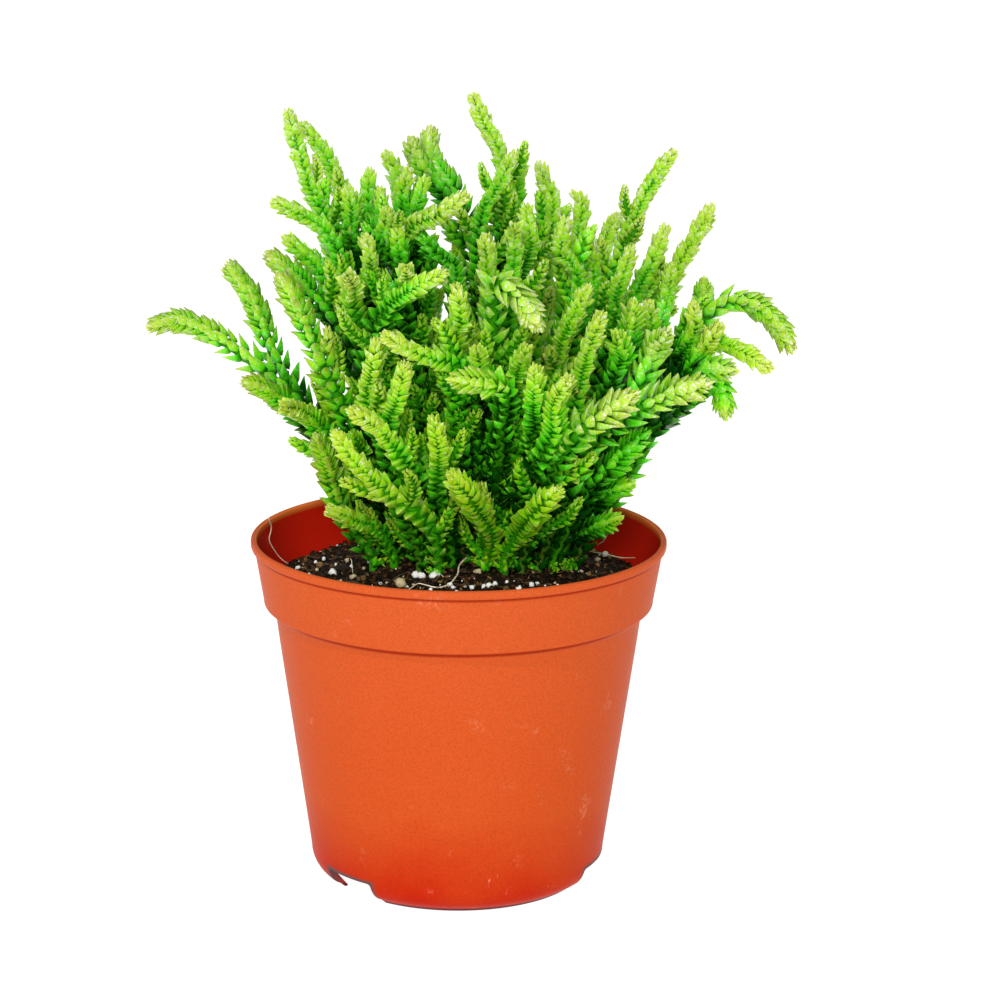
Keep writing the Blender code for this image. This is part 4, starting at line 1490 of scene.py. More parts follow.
@dataclass
class Growth:
    """Paths of all shoots, spread apart until their cores clear, as growing stems do.

    A core is thin at its tip, swells to its club, and thins again from club_end to foot_length
    below the tip. Every stem points at root_focus in the root ball, and a side shoot forks off
    join_drop below its lowest point. give_way is how readily a shoot moves across, in depth and
    up. A sample is shaded by those further from light_focus within shade_reach.
    """

    ground: Ground
    tip_radius: float = 0.8
    club_radius: float = 1.8
    club_length: float = 7.0
    foot_radius: float = 1.2
    club_end: float = 35.0
    foot_length: float = 75.0
    root_focus: Vector = field(default_factory=lambda: Vector((4.0, 17.0, 28.0)))
    foot_rise: float = 2.5
    foot_gap: float = 0.5
    path_step: float = 3.0
    join_drop: float = 13.0
    join_free: int = 5
    stem_gap: float = 1.2
    rounds: int = 120
    own_push: float = 0.35
    bow_push: float = 0.85
    bow_samples: int = 3
    give_way: Vector = field(default_factory=lambda: Vector((0.3, 0.9, 0.35)))
    light_focus: Vector = field(default_factory=lambda: Vector((4.0, 25.0, 70.0)))
    shade_reach: float = 18.0
    full_shade: float = 6.0
    shoots: list = field(default_factory=list)

    def foot_point(self, low: tuple) -> Vector:
        """Where a stem leaves the mix, on the line from its lowest point to the root ball.

        Args:
            low: lowest point of the stem that is known.

        Returns:
            The stem's foot.
        """
        point = Vector(low)
        for _ in range(4):
            height = self.ground.level(point.x, point.y) + self.foot_gap
            share = (height - self.root_focus.z) / (low[2] - self.root_focus.z)
            point = self.root_focus.lerp(Vector(low), share)
        return point

    def core_radius(self, from_tip: float) -> float:
        """Radius of a shoot's core at a distance from its tip.

        Args:
            from_tip: distance from the tip.

        Returns:
            The radius, in millimetres.
        """
        swell = min(1.0, from_tip / self.club_length) ** 0.6
        club = self.tip_radius + (self.club_radius - self.tip_radius) * swell
        thin = clamp((from_tip - self.club_end) / (self.foot_length - self.club_end))
        return club + (self.foot_radius - self.club_radius) * thin

    def start(self) -> None:
        """Lay out every shoot from the stems' points."""
        for stem, branches in STEMS.items():
            habits = HABITS.get(stem, (Habit.CLUB,))
            foot = self.foot_point(branches[0][0])
            main = smooth_path([foot + UP * self.foot_rise] + branches[0], self.path_step)
            self.shoots.append(Shoot(stem, None, [foot] + main, habits[0].value))
            parent = len(self.shoots) - 1
            for number, points in enumerate(branches[1:], 1):
                drop = points[0][2] - self.join_drop
                join = min(range(2, len(main)), key=lambda i: abs(main[i].z - drop))
                path = smooth_path([main[join]] + points, self.path_step)
                habit = habits[min(number, len(habits) - 1)].value
                self.shoots.append(Shoot(stem, (parent, join + 1), path, habit))
        for shoot in self.shoots:
            shoot.radii = [self.core_radius(length) for length in run_lengths(shoot.path[::-1])[::-1]]

    def may_touch(self, one: tuple, other: tuple) -> bool:
        """True where two samples lie at the fork that joins their shoots, or on one shoot.

        Args:
            one: a sample, as its shoot and its place on it.
            other: the other sample.

        Returns:
            Whether they are left as they are.
        """
        if one[0] == other[0]:
            return True
        joins = self.shoots[one[0]].join, self.shoots[other[0]].join
        for join, (_, sample), (near, _) in zip(joins, (one, other), (other, one)):
            if join is not None and join[0] == near and sample < self.join_free:
                return True
        if None not in joins and joins[0][0] == joins[1][0]:
            return one[1] < self.join_free and other[1] < self.join_free
        return False

    def samples(self) -> tuple[list[tuple], kdtree.KDTree]:
        """Number every sample as its shoot and its place on it, and sort them all in space.

        Returns:
            The samples by number, and the tree that finds them by place.
        """
        owners = [(s, i) for s, shoot in enumerate(self.shoots) for i in range(len(shoot.path))]
        tree = kdtree.KDTree(len(owners))
        for number, (s, i) in enumerate(owners):
            tree.insert(self.shoots[s].path[i], number)
        tree.balance()
        return owners, tree

    def pushes(self) -> tuple[list, int]:
        """Moves that would part the samples which stand too close.

        Returns:
            A move for every sample of every shoot, and how many pairs stand too close.
        """
        owners, tree = self.samples()
        moves = [[Vector() for _ in shoot.path] for shoot in self.shoots]
        crowded = 0
        for s, i in owners:
            here = self.shoots[s].path[i]
            for there, number, distance in tree.find_range(here, 2 * self.club_radius + self.stem_gap):
                other = owners[number]
                need = self.shoots[s].radii[i] + self.shoots[other[0]].radii[other[1]] + self.stem_gap
                if distance >= need or self.may_touch((s, i), other):
                    continue
                away = here - there
                if away.length < 1e-6:
                    away = Vector((0.0, -1.0 if s < other[0] else 1.0, 0.0))
                away = away.normalized() * (need - distance)
                moves[s][i] += Vector(a * b for a, b in zip(away, self.give_way))
                crowded += 1
        return moves, crowded

    def settle_ends(self, shoot: Shoot) -> None:
        """Keep a stem's foot upright on the mix, and a side shoot's first sample on its parent.

        Args:
            shoot: shoot whose first samples are set.
        """
        if shoot.join is None:
            foot = shoot.path[0]
            foot.z = self.ground.level(foot.x, foot.y) + self.foot_gap
            shoot.path[1] = foot + UP * self.foot_rise
        else:
            parent, sample = shoot.join
            shoot.path[0] = self.shoots[parent].path[sample].copy()

    def spread_apart(self) -> None:
        """Push crowded shoots off each other, each in a soft bow."""
        for _ in range(self.rounds):
            moves, crowded = self.pushes()
            if not crowded:
                break
            for shoot, shift in zip(self.shoots, moves):
                for i, push in enumerate(shift):
                    near = shift[max(0, i - self.bow_samples):i + self.bow_samples + 1]
                    shoot.path[i] += push * self.own_push + sum(near, Vector()) / len(near) * self.bow_push
                self.settle_ends(shoot)

    def shelter(self) -> None:
        """Find how far each sample lies in the shade of other shoots outside it, from 0 to 1."""
        owners, tree = self.samples()
        for s, i in owners:
            point = self.shoots[s].path[i]
            out = (point - self.light_focus).normalized()
            cover = 0.0
            for there, number, distance in tree.find_range(point, self.shade_reach):
                if owners[number][0] != s and distance > 0.1:
                    facing = max(0.0, (there - point).dot(out) / distance)
                    cover += facing * (1.0 - distance / self.shade_reach)
            self.shoots[s].shade.append(min(1.0, cover / self.full_shade))


# ---------------------------------------------------------------------------------------------
# Leaves
# ---------------------------------------------------------------------------------------------
@dataclass(frozen=True)
class LeafShape:
    """Section and bend of one kind of leaf, for a length of one.

    stations are the places along the leaf, widths and backs its half width and how far its round
    back stands out at each. cup is how far the margins fold towards the stem, bend how far the tip
    strays from straight, inwards if negative, and hook a last flick outwards. A plain leaf is a
    keel between two margins.
    """

    name: str
    stations: tuple
    widths: tuple
    backs: tuple
    cup: float
    bend: float
    hook: float = 0.0
    plain: bool = False

    def section(self, width: float, back: float) -> list[tuple]:
        """Points round the leaf at one station, with how close each is to a sharp edge.

        Args:
            width: half the leaf's width there.
            back: how far its back bulges there.

        Returns:
            Across, out and edge for each point.
        """
        fold = self.cup * width
        margins = [(-width, -fold, 1.0), (width, -fold, 1.0)]
        if self.plain:
            return margins + [(0.0, back, 0.25)]
        margins.insert(1, (0.0, 0.12 * back, 0.15))
        return margins + [(width * 0.5, back * 0.88, 0.15), (-width * 0.5, back * 0.88, 0.15)]

    def mesh(self) -> Mesh:
        """Closed leaf along +Z with its back towards +Y, and where each point lies on it.

        Returns:
            The mesh, with "along" and "edge" at its points.
        """
        bm = bmesh.new()
        along, edge = (bm.verts.layers.float.new(name) for name in ("along", "edge"))
        rings = []
        for t, width, back in zip(self.stations, self.widths, self.backs):
            drift = self.bend * t * t + self.hook * t ** 5
            ring = []
            for x, y, rim in self.section(width, back):
                vert = bm.verts.new((x, y + drift, t))
                vert[along], vert[edge] = t, rim * (0.35 + 0.65 * t)
                ring.append(vert)
            rings.append(ring)
        tip = bm.verts.new((0.0, self.bend + self.hook + 0.012, 1.0))
        tip[along], tip[edge] = 1.0, 1.0
        bm.faces.new(rings[0][::-1])
        bridge(bm, rings)
        for one, two in zip(rings[-1], rings[-1][1:] + rings[-1][:1]):
            bm.faces.new((one, two, tip))
        for margin in (0, 1 if self.plain else 2):
            line = [ring[margin] for ring in rings] + [tip]
            for one, two in zip(line, line[1:]):
                bm.edges.get((one, two)).smooth = False
        for face in bm.faces:
            face.smooth = True
        return to_mesh(bm, self.name, False)


class LeafKind(Enum):
    """The kinds of leaf, in the order in which the tree picks them."""

    TINY = LeafShape("leaf_0_tiny", (0.0, 0.4, 0.76), (0.24, 0.31, 0.19), (0.24, 0.28, 0.14), 0.3, -0.2,
                     plain=True)
    BUD = LeafShape("leaf_1_bud", (0.0, 0.3, 0.62, 0.87), (0.23, 0.27, 0.21, 0.1), (0.24, 0.27, 0.2, 0.09),
                    0.4, -0.16, 0.03, True)
    GROWN = LeafShape("leaf_2_grown", (0.0, 0.3, 0.62, 0.87), (0.29, 0.34, 0.27, 0.12),
                      (0.27, 0.3, 0.21, 0.09), 0.42, -0.16, 0.05, True)
    LONG = LeafShape("leaf_3_long", (0.0, 0.25, 0.55, 0.82), (0.21, 0.25, 0.2, 0.1),
                     (0.24, 0.24, 0.16, 0.07), 0.35, -0.2)
    HOOKED = LeafShape("leaf_4_hooked", (0.0, 0.25, 0.55, 0.82), (0.25, 0.28, 0.21, 0.1),
                       (0.38, 0.34, 0.2, 0.08), 0.3, -0.2, 0.05)


# What each point of a guide carries, and as what.
CARRIED = {"leaf": "BOOLEAN", "kind": "INT", "turn": "FLOAT_VECTOR", "size": "FLOAT_VECTOR",
           "thick": "FLOAT", "age": "FLOAT", "sun": "FLOAT", "pale": "FLOAT", "dry": "FLOAT"}


def leafing_tree() -> NodeTree:
    """Geometry Nodes tree that turns a guide mesh into a leafy shoot.

    The guide's edges run along the stems and carry "thick", and its loose points are leaf bases
    with their turn, size and kind.

    Returns:
        The tree.
    """
    tree, given = new_group("leafy_shoot", {
        "Leaves": ("Collection", None), "Turn Jitter": ("Float", 0.1), "Size Jitter": ("Float", 0.08),
        "Stem Sides": ("Int", 8), "Seed": ("Int", 1), "Leaf Skin": ("Material", None),
        "Stem Skin": ("Material", None)})

    def add(*node, **settings) -> NodeSocket:
        """Add a node as add_node does."""
        return add_node(tree, *node, **settings)

    read = {name: add("GeometryNodeInputNamedAttribute", {"Name": name}, data_type=CARRIED[name])
            for name in ("leaf", "kind", "turn", "size", "thick")}
    templates = add("GeometryNodeCollectionInfo", {
        "Collection": given["Leaves"], "Separate Children": True, "Reset Children": True})
    least, most = (add(VECTOR_MATH, {0: (side,) * 3, "Scale": given["Turn Jitter"]}, operation="SCALE")
                   for side in (-1.0, 1.0))
    wobble = add("FunctionNodeRandomValue", {"Min": least, "Max": most, "Seed": given["Seed"]},
                 data_type="FLOAT_VECTOR")
    turn = add("FunctionNodeRotateRotation", (add("FunctionNodeEulerToRotation", (read["turn"],)), wobble),
               rotation_space="LOCAL")
    small = add(MATH, (1.0, given["Size Jitter"]), operation="SUBTRACT")
    large = add(MATH, (1.0, given["Size Jitter"]), **PLUS)
    swell = add("FunctionNodeRandomValue", {2: small, 3: large, "Seed": 9}, 1, data_type="FLOAT")
    size = add(VECTOR_MATH, {0: read["size"], "Scale": swell}, operation="SCALE")
    chance = add("FunctionNodeRandomValue", {"Seed": 31}, 1, data_type="FLOAT")
    marked = add("GeometryNodeStoreNamedAttribute",
                 {"Geometry": given["Geometry"], "Name": "chance", "Value": chance},
                 data_type="FLOAT", domain="POINT")
    leaves = add("GeometryNodeInstanceOnPoints", {
        "Points": marked, "Selection": read["leaf"], "Instance": templates, "Pick Instance": True,
        "Instance Index": read["kind"], "Rotation": turn, "Scale": size})
    real = add("GeometryNodeRealizeInstances", (leaves,))
    ring = add("GeometryNodeCurvePrimitiveCircle", {"Resolution": given["Stem Sides"], "Radius": 1.0})
    stem = add("GeometryNodeCurveToMesh", {"Curve": add("GeometryNodeMeshToCurve", (marked,)),
                                           "Profile Curve": ring, "Scale": read["thick"], "Fill Caps": True})
    smooth = add("GeometryNodeSetShadeSmooth", (stem,))
    return end_group(tree, *(add("GeometryNodeSetMaterial", {"Geometry": part, "Material": given[skin]})
                             for part, skin in ((smooth, "Stem Skin"), (real, "Leaf Skin"))))


@dataclass
class Guide:
    """Guide mesh of one stem: stem lines and leaf bases with what each carries."""

    points: list = field(default_factory=list)
    edges: list = field(default_factory=list)
    rows: list = field(default_factory=list)

    def add(self, place: Vector, **carried) -> int:
        """Add a point with what it carries and return its number.

        Args:
            place: the point, in millimetres.
            **carried: numbers by their names.

        Returns:
            The point's number.
        """
        self.points.append(tuple(place * MM))
        self.rows.append(carried)
        return len(self.points) - 1

    def mesh(self, name: str) -> Mesh:
        """Return the guide as a mesh with its attributes.

        Args:
            name: the mesh's name.

        Returns:
            The mesh, in metres.
        """
        mesh = bpy.data.meshes.new(name)
        mesh.from_pydata(self.points, self.edges, [])
        for label, kind in CARRIED.items():
            vector = kind == "FLOAT_VECTOR"
            values = [row.get(label, (0.0, 0.0, 0.0) if vector else 0) for row in self.rows]
            layer = mesh.attributes.new(label, kind, "POINT")
            layer.data.foreach_set("vector" if vector else "value", np.array(values).ravel())
        return mesh


@dataclass
class YoungShoots:
    """Young shoots that grow from a grown one.

    Sprouts grow low on a stem, sprigs creep round its foot, and inner shoots grow to stated places.
    Lengths are in millimetres, and a name in the plural holds the ends of a range. Sprouts keep
    foot_free from a stem's foot and fork_free from a fork. A sprout clears its stem and then bends
    outwards: sprout_bow is how far along the stem's way and out from it the sprout has come at
    each knot, in its lengths. drawn_up is how much longer full shade makes it, and inner_drop how
    far below its end an inner shoot leaves its stem.
    """

    ground: Ground
    foot_free: float = 2.0
    fork_free: float = 6.0
    stem_clear: float = 1.6
    sprout_lengths: tuple = (3.5, 9.5)
    sprout_bow: tuple = ((0.0, 0.0), (0.45, 0.42), (0.95, 0.62))
    sprout_scales: tuple = (0.58, 0.8)
    sprout_gaps: tuple = (0.6, 1.4)
    # sprout_shade, inner_shade and sprig_shade set how much painted shade the young shoots' leaves take.
    sprout_shade: float = 0.8
    drawn_up: float = 5.0
    inner_drop: float = 9.0
    inner_bow: float = 0.8
    inner_shade: float = 0.55
    inner_scales: tuple = (0.8, 0.88)
    sprigs: int = 1
    sprig_turns: tuple = (1.6, 2.6)
    sprig_lengths: tuple = (3.5, 8.0)
    sprig_lift: float = 0.9
    sprig_rises: tuple = (0.15, 0.45)
    sprig_shade: float = 0.25
    sprig_scales: tuple = (0.6, 0.8)

    def grow(self, shoot: Shoot, draw: random.Random) -> list[Shoot]:
        """All the young shoots of a shoot.

        Args:
            shoot: the shoot that they grow from.
            draw: source of chance.

        Returns:
            The young shoots.
        """
        young = self.sprouts(shoot, draw)
        if shoot.join is None:
            young += self.base_sprigs(shoot, draw) + self.inner_shoots(shoot, draw)
        return young

    def sprouts(self, shoot: Shoot, draw: random.Random) -> list[Shoot]:
        """Short young side shoots in the leaf joints low on a shoot.

        Args:
            shoot: the shoot that they grow from.
            draw: source of chance.

        Returns:
            The side shoots.
        """
        habit, path = shoot.habit, shoot.path
        lengths = run_lengths(path[::-1])[::-1]
        made = []
        place = habit.bare_tip + draw.uniform(0.0, habit.sprout_gap)
        while place < lengths[0] - (self.foot_free if shoot.join is None else self.fork_free):
            i = min(range(1, len(path) - 1), key=lambda k: abs(lengths[k] - place))
            way = (path[i + 1] - path[i - 1]).normalized()
            out = way.cross(Vector([draw.uniform(-1, 1) for _ in range(3)])).normalized()
            if way.z > -0.2 and out.z < -0.25:
                out = -out
            length = draw.uniform(*self.sprout_lengths) + self.drawn_up * shoot.shade[i]
            knots = [path[i]] + [path[i] + way * (self.stem_clear + length * rise)
                                 + out * (self.stem_clear + length * run) for rise, run in self.sprout_bow]
            made.append(Shoot(shoot.stem, (0, i), knots, Habit.SPROUT.value,
                              shade=[shoot.shade[i] * self.sprout_shade],
                              scale=draw.uniform(*self.sprout_scales)))
            place += habit.sprout_gap * draw.uniform(*self.sprout_gaps) * (1.3 - 0.6 * shoot.shade[i])
        return made

    def inner_shoots(self, main: Shoot, draw: random.Random) -> list[Shoot]:
        """Young shoots that grow to stated places deep in the clump, where it is dense.

        Args:
            main: main shoot of the stem that they grow from.
            draw: source of chance.

        Returns:
            The shoots.
        """
        made = []
        for tip in map(Vector, INNER_SHOOTS.get(main.stem, ())):
            low = tip - UP * self.inner_drop
            near = min(range(2, len(main.path)), key=lambda k: (main.path[k] - low).length)
            foot = main.path[near]
            bow = (tip - foot).cross(Vector((0.0, 1.0, 0.0))).normalized() * self.inner_bow
            made.append(Shoot(main.stem, (0, near), [foot, foot.lerp(tip, 0.5) + bow, tip],
                              Habit.SPROUT.value, shade=[self.inner_shade],
                              scale=draw.uniform(*self.inner_scales)))
        return made

    def base_sprigs(self, main: Shoot, draw: random.Random) -> list[Shoot]:
        """Short fat sprigs that creep over the mix round the foot of a stem.

        Args:
            main: the stem's main shoot.
            draw: source of chance.

        Returns:
            The sprigs.
        """
        foot, made = main.path[0], []
        turn = draw.uniform(0.0, 2 * math.pi)
        for _ in range(self.sprigs):
            turn += draw.uniform(*self.sprig_turns)
            out = Vector((math.cos(turn), math.sin(turn), 0.0))
            length = draw.uniform(*self.sprig_lengths)
            knots = []
            for share in (0.0, 0.35, 0.7, 1.0):
                spot = foot + out * length * share
                lift = self.sprig_lift + length * share * draw.uniform(*self.sprig_rises)
                knots.append(Vector((spot.x, spot.y, self.ground.level(spot.x, spot.y) + lift)))
            made.append(Shoot(main.stem, (0, 1), knots, Habit.SPRIG.value, shade=[self.sprig_shade],
                              scale=draw.uniform(*self.sprig_scales)))
        return made


# How far from its tip a shoot is fully aged, in millimetres.
AGED_AT = 90.0


def age_at(from_tip: float) -> float:
    """Age of a shoot at a distance from its tip, from 0 to 1."""
    return min(1.0, from_tip / AGED_AT)


@dataclass(frozen=True)
class Joint:
    """Where one pair of leaves grows, and how far it is from the tip, in the shade and risen.

    place, way and side are its frame, and turn that of the pair about the way. tone is how much
    yellower than others its shoot is. rise is how far it stands above the clump's foot, where its
    leaves are smaller and painted shade darkens them, and pallor is how much painted pale light
    from above it takes.
    """

    place: Vector
    way: Vector
    side: Vector
    from_tip: float
    turn: float
    radius: float
    tone: float
    shade: float
    rise: float
    pallor: float


@dataclass
class Clump:
    """The plant: leafy stems in four rows, from the mix to their clubbed tips.

    Lengths are in millimetres, the spreads and row_turn in degrees, and pair_turn, spread_jitter
    and turn_jitter in radians. A leaf is a bud within bud_reach of the tip, and a shoot smaller
    than tiny_scale carries tiny leaves. What ends in loss makes leaves greener: age, and painted
    shade deep in the clump and at the clump's foot, which is partly the greener tone of shaded
    leaves, and under the painted pale light on its top.
    """

    growth: Growth
    seed: int = 3
    fine_step: float = 0.5
    line_every: int = 6
    grow_in: float = 3.5
    club_leaf: float = 0.75
    bud_length: float = 1.5
    bud_growth: float = 0.6
    bud_reach: float = 5.0
    tiny_scale: float = 0.9
    open_enough: float = 0.3
    bud_spread: float = 14.0
    club_spread: float = 47.0
    spread_jitter: float = 0.07
    sink: float = 3.0
    core_share: float = 0.72
    base_share: float = 0.6
    tip_light: float = 0.3
    tip_reach: float = 6.0
    age_loss: float = 0.15
    shade_loss: float = 0.9
    shade_clears: float = 0.85
    foot_leaf: float = 0.6
    foot_loss: float = 0.12
    foot_height: float = 20.0
    # Painted pale light on the clump's top: from what height, over what rise, and how strong at most.
    painted_top_light_from: float = 120.0
    painted_top_light_over: float = 60.0
    painted_top_light_most: float = 0.4
    top_loss: float = 0.3
    turn_jitter: float = 0.18
    size_jitter: float = 0.16
    stem_sides: int = 5
    row_turn: float = 14.0
    pair_turn: float = 0.1
    tone_jitter: float = 0.08
    pitches: tuple = (0.93, 1.07)

    def frames(self, path: list[Vector], phase: float) -> tuple[list[Vector], list[Vector]]:
        """Side and way at each sample, turned as little as possible along the shoot.

        Args:
            path: samples from the foot to the tip.
            phase: turn of the first leaf row from the front, in radians.

        Returns:
            For each sample a unit vector across the path, and one along it.
        """
        last = len(path) - 1
        ways = [(path[min(last, i + 1)] - path[max(0, i - 1)]).normalized() for i in range(last + 1)]
        front = Vector((0.0, -1.0, 0.25))
        side = (front - ways[-1] * front.dot(ways[-1])).normalized()
        side.rotate(Matrix.Rotation(phase, 3, ways[-1]))
        sides = [side]
        for i in range(last - 1, -1, -1):
            side = ways[i + 1].rotation_difference(ways[i]) @ sides[-1]
            sides.append((side - ways[i] * side.dot(ways[i])).normalized())
        return sides[::-1], ways

    def leaf_kind(self, shoot: Shoot, from_tip: float) -> int:
        """Choose the kind of leaf that grows at a distance from the tip.

        Args:
            shoot: the shoot.
            from_tip: distance from its tip.

        Returns:
            The place of the kind in LeafKind.
        """
        if shoot.scale < self.tiny_scale:
            return 0
        if shoot.habit.open_share(from_tip) > self.open_enough:
            return shoot.habit.open_kind
        return 1 if from_tip < self.bud_reach else 2

    def leaf_pair(self, guide: Guide, draw: random.Random, shoot: Shoot, joint: Joint) -> None:
        """Add a pair of leaves.

        Args:
            guide: guide mesh to add to.
            draw: source of chance.
            shoot: the shoot.
            joint: where they grow.
        """
        habit, from_tip = shoot.habit, joint.from_tip
        opened = habit.open_share(from_tip)
        grown = 1.0 - math.exp(-from_tip / self.grow_in)
        length = min(habit.length * (self.club_leaf + (1.0 - self.club_leaf) * opened),
                     self.bud_length + self.bud_growth * from_tip)
        length *= shoot.scale
        length *= self.foot_leaf + (1.0 - self.foot_leaf) * joint.rise
        club = self.bud_spread + (self.club_spread - self.bud_spread) * grown
        spread = math.radians(club + (habit.spread - club) * opened)
        age = age_at(from_tip)
        sun = habit.sun + self.tip_light * math.exp(-from_tip / self.tip_reach) - self.age_loss * age
        sun += joint.tone
        # Painted shade, partly the greener tone of shaded leaves: less lime under the painted pale light on
        # top, deep in the clump and at its foot.
        sun -= self.top_loss * joint.pallor
        sun -= (self.shade_loss * joint.shade + self.foot_loss * (1.0 - joint.rise)) * habit.dimming
        # The shoot's own pallor, less in painted shade and at the foot, plus the painted pale light on the
        # top.
        pale = habit.pale * (1.0 - self.shade_clears * joint.shade) * joint.rise + joint.pallor
        for half in (0.0, math.pi):
            spread_here = spread + draw.uniform(-self.spread_jitter, self.spread_jitter)
            self.leaf(guide, joint, half, spread_here, kind=self.leaf_kind(shoot, from_tip), age=age,
                      size=(length * MM,) * 3, sun=sun, pale=pale, dry=habit.dry * (0.3 + draw.random()))

    def leaf(self, guide: Guide, joint: Joint, turn: float, spread: float, **carried) -> None:
        """Add one leaf base to the guide.

        Args:
            guide: guide mesh to add to.
            joint: where it grows.
            turn: turn round the stem from the joint's own, in radians.
            spread: angle from the stem in radians.
            **carried: its size and kind, and what its skin reads.
        """
        way, out = joint.way, joint.side.copy()
        out.rotate(Matrix.Rotation(joint.turn + turn, 3, way))
        along = way * math.cos(spread) + out * math.sin(spread)
        back = out * math.cos(spread) - way * math.sin(spread)
        basis = Matrix((back.cross(along), back, along)).transposed()
        place = joint.place + out * joint.radius * self.core_share * self.base_share
        guide.add(place, leaf=True, turn=tuple(basis.to_euler()), **carried)

    def shoot_guide(self, guide: Guide, shoot: Shoot, draw: random.Random) -> None:
        """Add a shoot's stem line and its leaves to a guide.

        Args:
            guide: guide mesh to add to.
            shoot: the shoot.
            draw: source of chance.
        """
        rooted, ground = shoot.join is None, self.growth.ground
        path = smooth_path([shoot.path[0] - UP * self.sink, *shoot.path] if rooted else shoot.path,
                           self.fine_step)
        sides, ways = self.frames(path, math.radians(
            shoot.habit.phase + draw.uniform(-self.row_turn, self.row_turn)))
        lengths = run_lengths(path)
        total = lengths[-1]
        bare = self.sink - 0.5 if rooted else 1.5 * shoot.scale
        tone = draw.uniform(-self.tone_jitter, self.tone_jitter)
        line = [guide.add(path[i], thick=self.growth.core_radius(total - lengths[i]) * self.core_share
                          * shoot.scale * MM, age=age_at(total - lengths[i]), sun=shoot.habit.sun)
                for i in range(0, len(path), self.line_every)]
        guide.edges += zip(line, line[1:])
        shade_at = np.linspace(0.0, 1.0, len(shoot.shade))
        from_tip, turn = 0.25, 0.0
        while from_tip < total - bare:
            i = min(max(1, int(np.searchsorted(lengths, total - from_tip))), len(path) - 1)
            share = (total - from_tip - lengths[i - 1]) / max(1e-6, lengths[i] - lengths[i - 1])
            place = path[i - 1].lerp(path[i], share)
            turned = turn + draw.uniform(-self.pair_turn, self.pair_turn)
            shade = float(np.interp(i / len(path), shade_at, shoot.shade))
            above = place.z - ground.level(place.x, place.y)
            # Painted pale light on the clump's top, less where painted shade falls.
            pallor = self.painted_top_light_most * clamp((place.z - self.painted_top_light_from) / self.painted_top_light_over) * (1.0 - shade)
            self.leaf_pair(guide, draw, shoot, Joint(
                place, ways[i], sides[i], from_tip, turned, self.growth.core_radius(from_tip), tone, shade,
                eased(above / self.foot_height), pallor))
            from_tip += shoot.habit.pitch(from_tip) * shoot.scale * draw.uniform(*self.pitches)
            turn += math.pi / 2

    def build(self) -> None:
        """Grow every stem as one piece with its side shoots."""
        leaf_skin, stem_skin = LeafSkin().build(), StemSkin().build()
        tree, young = leafing_tree(), YoungShoots(self.growth.ground)
        templates = make_templates("leaves", [kind.value.mesh() for kind in LeafKind])
        for number, stem in enumerate(STEMS):
            draw = random.Random(self.seed * 1000 + number)
            guide = Guide()
            for shoot in [s for s in self.growth.shoots if s.stem == stem]:
                self.shoot_guide(guide, shoot, draw)
                for sprout in young.grow(shoot, draw):
                    self.shoot_guide(guide, sprout, draw)
            name = f"leafy_{stem}"
            piece = new_object(name, guide.mesh(name))
            run_tree(piece, tree, {
                "Leaves": templates, "Turn Jitter": self.turn_jitter, "Size Jitter": self.size_jitter,
                "Stem Sides": self.stem_sides, "Seed": number, "Leaf Skin": leaf_skin,
                "Stem Skin": stem_skin})
            ride(piece, "succulent_leaf", f"stem_{stem}")
        drop_templates(templates)


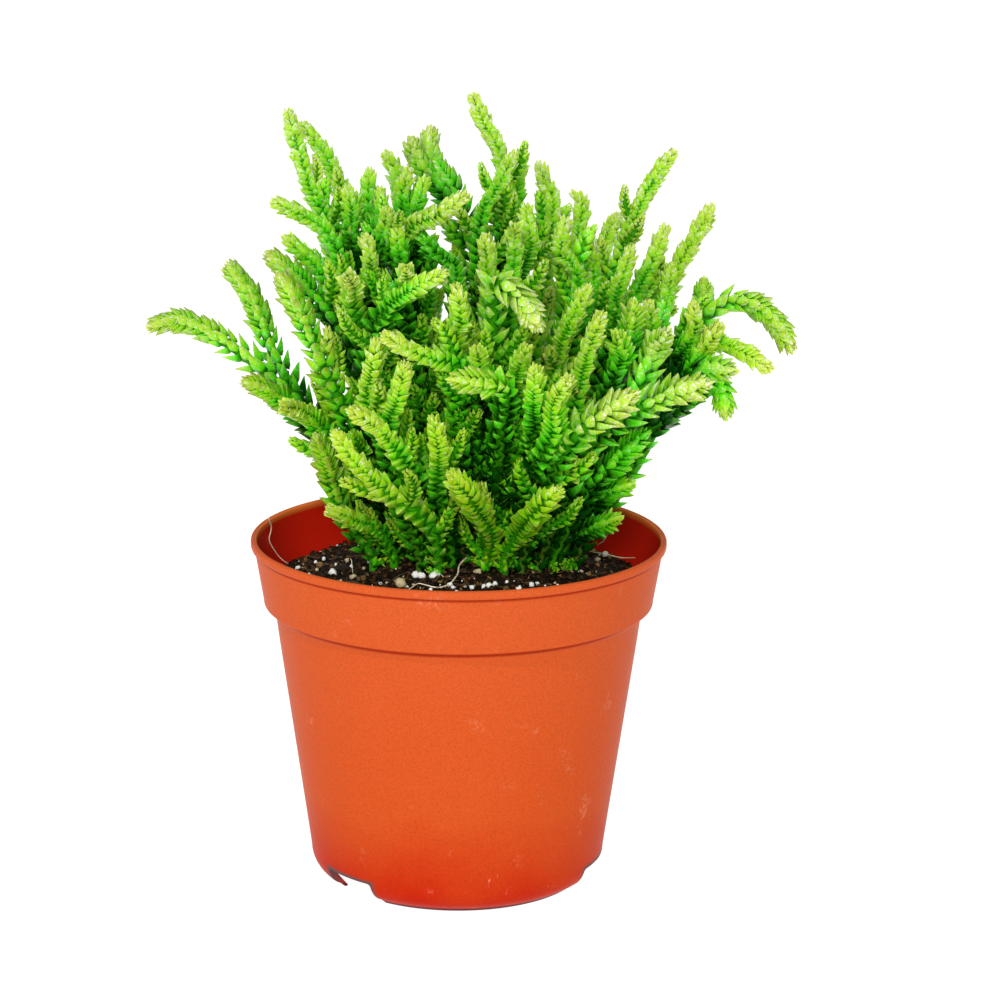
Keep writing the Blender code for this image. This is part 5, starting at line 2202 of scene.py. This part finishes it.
# ---------------------------------------------------------------------------------------------
# Studio
# ---------------------------------------------------------------------------------------------
@dataclass
class Studio:
    """Lit white floor, two suns and the camera."""

    lens: float = 126.5
    distance: float = 900.0
    aim_height: float = 45.0
    elevation: float = 17.49
    turn: float = -0.668
    lift: float = 3.265
    roll: float = -0.25
    sky: float = 0.6
    floor_reach: float = 8.0
    floor_drop: float = 0.0002
    suns: tuple = (("key", (-0.1, -1.0, 0.45), 1.45, 24.0), ("sparkle", (-0.4, -0.8, 1.0), 0.6, 2.0))

    def camera(self) -> None:
        """Place the camera in front of the pot, looking a little down."""
        tilt = math.radians(self.elevation)
        place = Vector((0.0, -math.cos(tilt), math.sin(tilt))) * self.distance + UP * self.aim_height
        aim = Matrix.Rotation(math.pi / 2 - tilt, 3, "X")
        for degrees, axis in ((self.turn, "Y"), (self.lift, "X"), (-self.roll, "Z")):
            aim = aim @ Matrix.Rotation(math.radians(degrees), 3, axis)
        data = bpy.data.cameras.new("camera")
        data.lens, data.sensor_width, data.clip_start = self.lens, 36.0, 0.05
        made = new_object("camera", data)
        made.matrix_world = Matrix.LocRotScale(place * MM, aim, None)
        bpy.context.scene.camera = made

    def sun(self, name: str, way: tuple, strength: float, softness: float) -> None:
        """Add one distant soft light, even over the whole floor.

        Args:
            name: name of the light.
            way: direction that it comes from.
            strength: its strength.
            softness: angle that it fills, in degrees.
        """
        data = bpy.data.lights.new(name, "SUN")
        data.energy, data.angle = strength, math.radians(softness)
        new_object(name, data).rotation_euler = Vector(way).to_track_quat("Z", "Y").to_euler()

    def floor(self) -> None:
        """Lay the white floor just under the pot."""
        mesh = bpy.data.meshes.new("floor")
        corners = ((-1, -1), (1, -1), (1, 1), (-1, 1))
        mesh.from_pydata([(x * self.floor_reach, y * self.floor_reach, -self.floor_drop) for x, y in corners],
                         [], [(0, 1, 2, 3)])
        new_object("floor", mesh, LitAcrylic().build())

    def build(self) -> None:
        """Set up the floor, the world, the lights and the camera."""
        world = bpy.data.worlds.new("studio")
        world.use_nodes = True
        background = world.node_tree.nodes["Background"]
        background.inputs["Color"].default_value = WHITE
        background.inputs["Strength"].default_value = self.sky
        bpy.context.scene.world = world
        bpy.context.scene.view_settings.view_transform = "Standard"
        self.floor()
        for sun in self.suns:
            self.sun(*sun)
        self.camera()


def main() -> None:
    """Build the potted plant and its studio, piece by piece."""
    logging.basicConfig(level=logging.INFO, format="%(message)s")
    Studio().build()
    pot = Pot()
    ground = Ground(pot)
    pot.build()
    MixBed(ground).build()
    Litter(ground).build()
    Roots(ground).build()
    growth = Growth(ground)
    growth.start()
    growth.spread_apart()
    growth.shelter()
    Clump(growth).build()
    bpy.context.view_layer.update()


if __name__ == "__main__":
    main()
